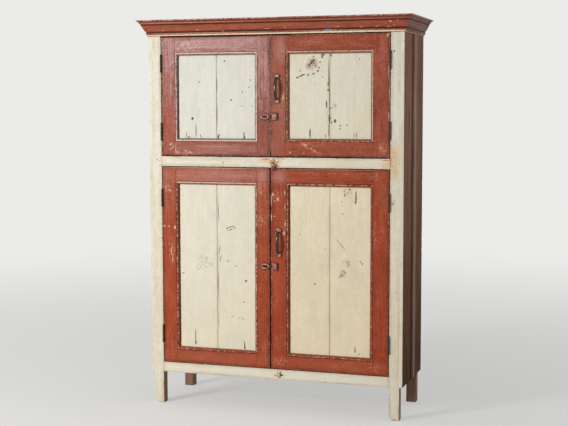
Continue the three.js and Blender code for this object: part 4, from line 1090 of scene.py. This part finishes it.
def makeHasp(row):
    strapNode, plateNode, stapleNode = f"{row}_hasp_strap", f"{row}_hasp_fixed_plate", f"{row}_staple"
    low, high = nodeBox(strapNode)
    x, z = high[0] - hasp["radius"], (low[2] + high[2]) / 2
    plateLow, plateHigh = nodeBox(plateNode)
    stapleLow, stapleHigh = nodeBox(stapleNode)
    face = plateHigh[1]
    y = face - hasp["radius"]
    eyeX, root = x - hasp["reach"], x - hasp["radius"] - 2 * hasp["gap"]

    def bar(x0, x1, height, back, thick):  # a slab at the hasp's own height
        return slab(x0, x1, z - height / 2, z + height / 2, back, thick)

    def barrel(middle, length):  # a length of the knuckle
        return upright(x, y, hasp["radius"], middle - length / 2, middle + length / 2)

    strap = [
        bar(root - hasp["rootLength"], root, hasp["rootHeight"], y + hasp["thick"] / 2, hasp["thick"]),
        eyeRing(eyeX, z, y),
    ]
    knuckle = [barrel(z, hasp["middle"]), bar(
        eyeX + hasp["neckFrom"], root - hasp["neckTo"], hasp["neck"], y + hasp["neckThick"] / 2, hasp["neckThick"])]
    makePiece(row + "_haspKnuckle", knuckle, darkIron, f"{row}_hasp", "dark_iron", strapNode)
    makePiece(row + "_haspStrap", strap, paintedIron, f"{row}_hasp", "dark_iron", strapNode)
    fixed = [bar(plateLow[0], root, hasp["plateHeight"], face, hasp["plateThick"])]
    fromMiddle = hasp["middle"] / 2 + hasp["gap"] + hasp["end"] / 2
    ends = [barrel(z + way * fromMiddle, hasp["end"]) for way in (-1, 1)]
    makePiece(row + "_haspFixed", fixed, paintedIron, f"{row}_right_door", "dark_iron", plateNode)
    makePiece(row + "_haspEnds", ends, darkIron, f"{row}_right_door", "dark_iron", plateNode)
    width, height = stapleHigh[0] - stapleLow[0], stapleHigh[2] - stapleLow[2]
    plates = [plate(ovalOutline(eyeX, z, width, height), stapleHigh[1], staplePlate)]
    turn, half = np.radians(np.linspace(180, 0, 17)), staple["legs"] / 2
    crown, foot = stapleLow[1] + staple["wire"] + half, stapleHigh[1] - staple["sunk"]
    arch = np.stack([eyeX + half * np.cos(turn), crown - half * np.sin(turn), np.full(len(turn), z)], axis=-1)
    path = np.vstack([[(eyeX - half, foot, z)], arch, [(eyeX + half, foot, z)]])
    loop = tube(path, (0, 0, 1), (staple["wire"], staple["wire"]), 12)
    makePiece(row + "_staplePlate", plates, darkIron, f"{row}_left_door", "dark_iron", stapleNode)
    makePiece(row + "_stapleLoop", [loop], darkIron, f"{row}_left_door", "dark_iron", stapleNode)


for row in ("upper", "lower"):
    makeHandle(row)
    makeHasp(row)

# A loose nail's head stands proud of the middle rail.
railNail = {"place": (26, 1236), "size": (8, 7), "profile": ((1, -1.5), (1, 0.6), (0.6, 1.4))}
nailHead = plate(ovalOutline(*railNail["place"], *railNail["size"], 16), front, railNail["profile"])
makePiece("railNail", [nailHead], nailSteel, "cupboard", "steel")
coat("bent_nail", nailSteel)
print("ironwork ready")

# ---- floor, light and backdrop

stage = {"floorColor": "#efeeea", "floorReach": 45, "backdrop": "#ebebe9", "near": 0.6, "far": 7.0,
         "ambient": 0.42, "ambientColor": "#f2f4f8", "keyPlace": (-3.0, -4.2, 2.0), "keyAim": (0.0, 0.0, 0.95),
         "keySize": (1.1, 1.1), "keyPower": 165}


def seenRays(tree):  # 1 for what the camera sees, straight, in a reflection or through glass
    rays = addNode(tree, "LightPath")
    seen = addNode(tree, "Math", {0: (rays, "Is Camera Ray"), 1: (rays, "Is Glossy Ray")}, operation="MAXIMUM")
    return addNode(tree, "Math", {0: seen, 1: (rays, "Is Transmission Ray")}, operation="MAXIMUM")


def makeFloor():
    # Near the object the floor takes light and shadow. Towards far it turns into the backdrop, up
    # to half, for the rays that are seen.
    r = stage["floorReach"]
    mesh = bpy.data.meshes.new("floor")
    mesh.from_pydata([(-r, -r, 0), (r, -r, 0), (r, r, 0), (-r, r, 0)], [], [(0, 1, 2, 3)])
    floor = bpy.data.objects.new("floor", mesh)
    bpy.context.scene.collection.objects.link(floor)
    material, tree = newMaterial("paleFloor", stage["floorColor"])
    place = addNode(tree, "VectorMath", {0: (addNode(tree, "TexCoord"), "Object")}, operation="LENGTH")
    far = addNode(tree, "MapRange", {"Value": place, "From Min": stage["near"], "From Max": stage["far"]},
                  interpolation_type="SMOOTHSTEP")
    pale = addNode(tree, "MapRange", {"Value": far, "To Min": 0.5})
    fade = addNode(tree, "Math", {0: pale, 1: seenRays(tree)}, operation="MULTIPLY")
    matt = addNode(tree, "BsdfDiffuse", {"Color": hexColor(stage["floorColor"])})
    glow = addNode(tree, "Emission", {"Color": hexColor(stage["backdrop"]), "Strength": 1.0})
    surface = addNode(tree, "MixShader", {0: fade, 1: matt, 2: glow})
    addNode(tree, "OutputMaterial", {"Surface": surface})
    mesh.materials.append(material)


def makeLight():
    data = bpy.data.lights.new("windowLight", "AREA")
    data.shape = "RECTANGLE"
    data.size, data.size_y = stage["keySize"]
    data.energy = stage["keyPower"]
    lamp = bpy.data.objects.new("windowLight", data)
    lamp.location = stage["keyPlace"]
    lamp.rotation_euler = (Vector(stage["keyAim"]) - Vector(stage["keyPlace"])).to_track_quat("-Z", "Y").to_euler()
    bpy.context.scene.collection.objects.link(lamp)
    world = bpy.data.worlds.new("studio")
    bpy.context.scene.world = world
    world.use_nodes = True
    tree = world.node_tree
    tree.nodes.clear()
    ambient = addNode(tree, "Background", {"Color": hexColor(stage["ambientColor"]), "Strength": stage["ambient"]})
    pale = addNode(tree, "Background", {"Color": hexColor(stage["backdrop"]), "Strength": 1.0})
    both = addNode(tree, "MixShader", {0: seenRays(tree), 1: ambient, 2: pale})
    addNode(tree, "OutputWorld", {"Surface": both})


makeFloor()
makeLight()
bpy.context.scene.view_settings.view_transform = "Standard"
print("stage ready")
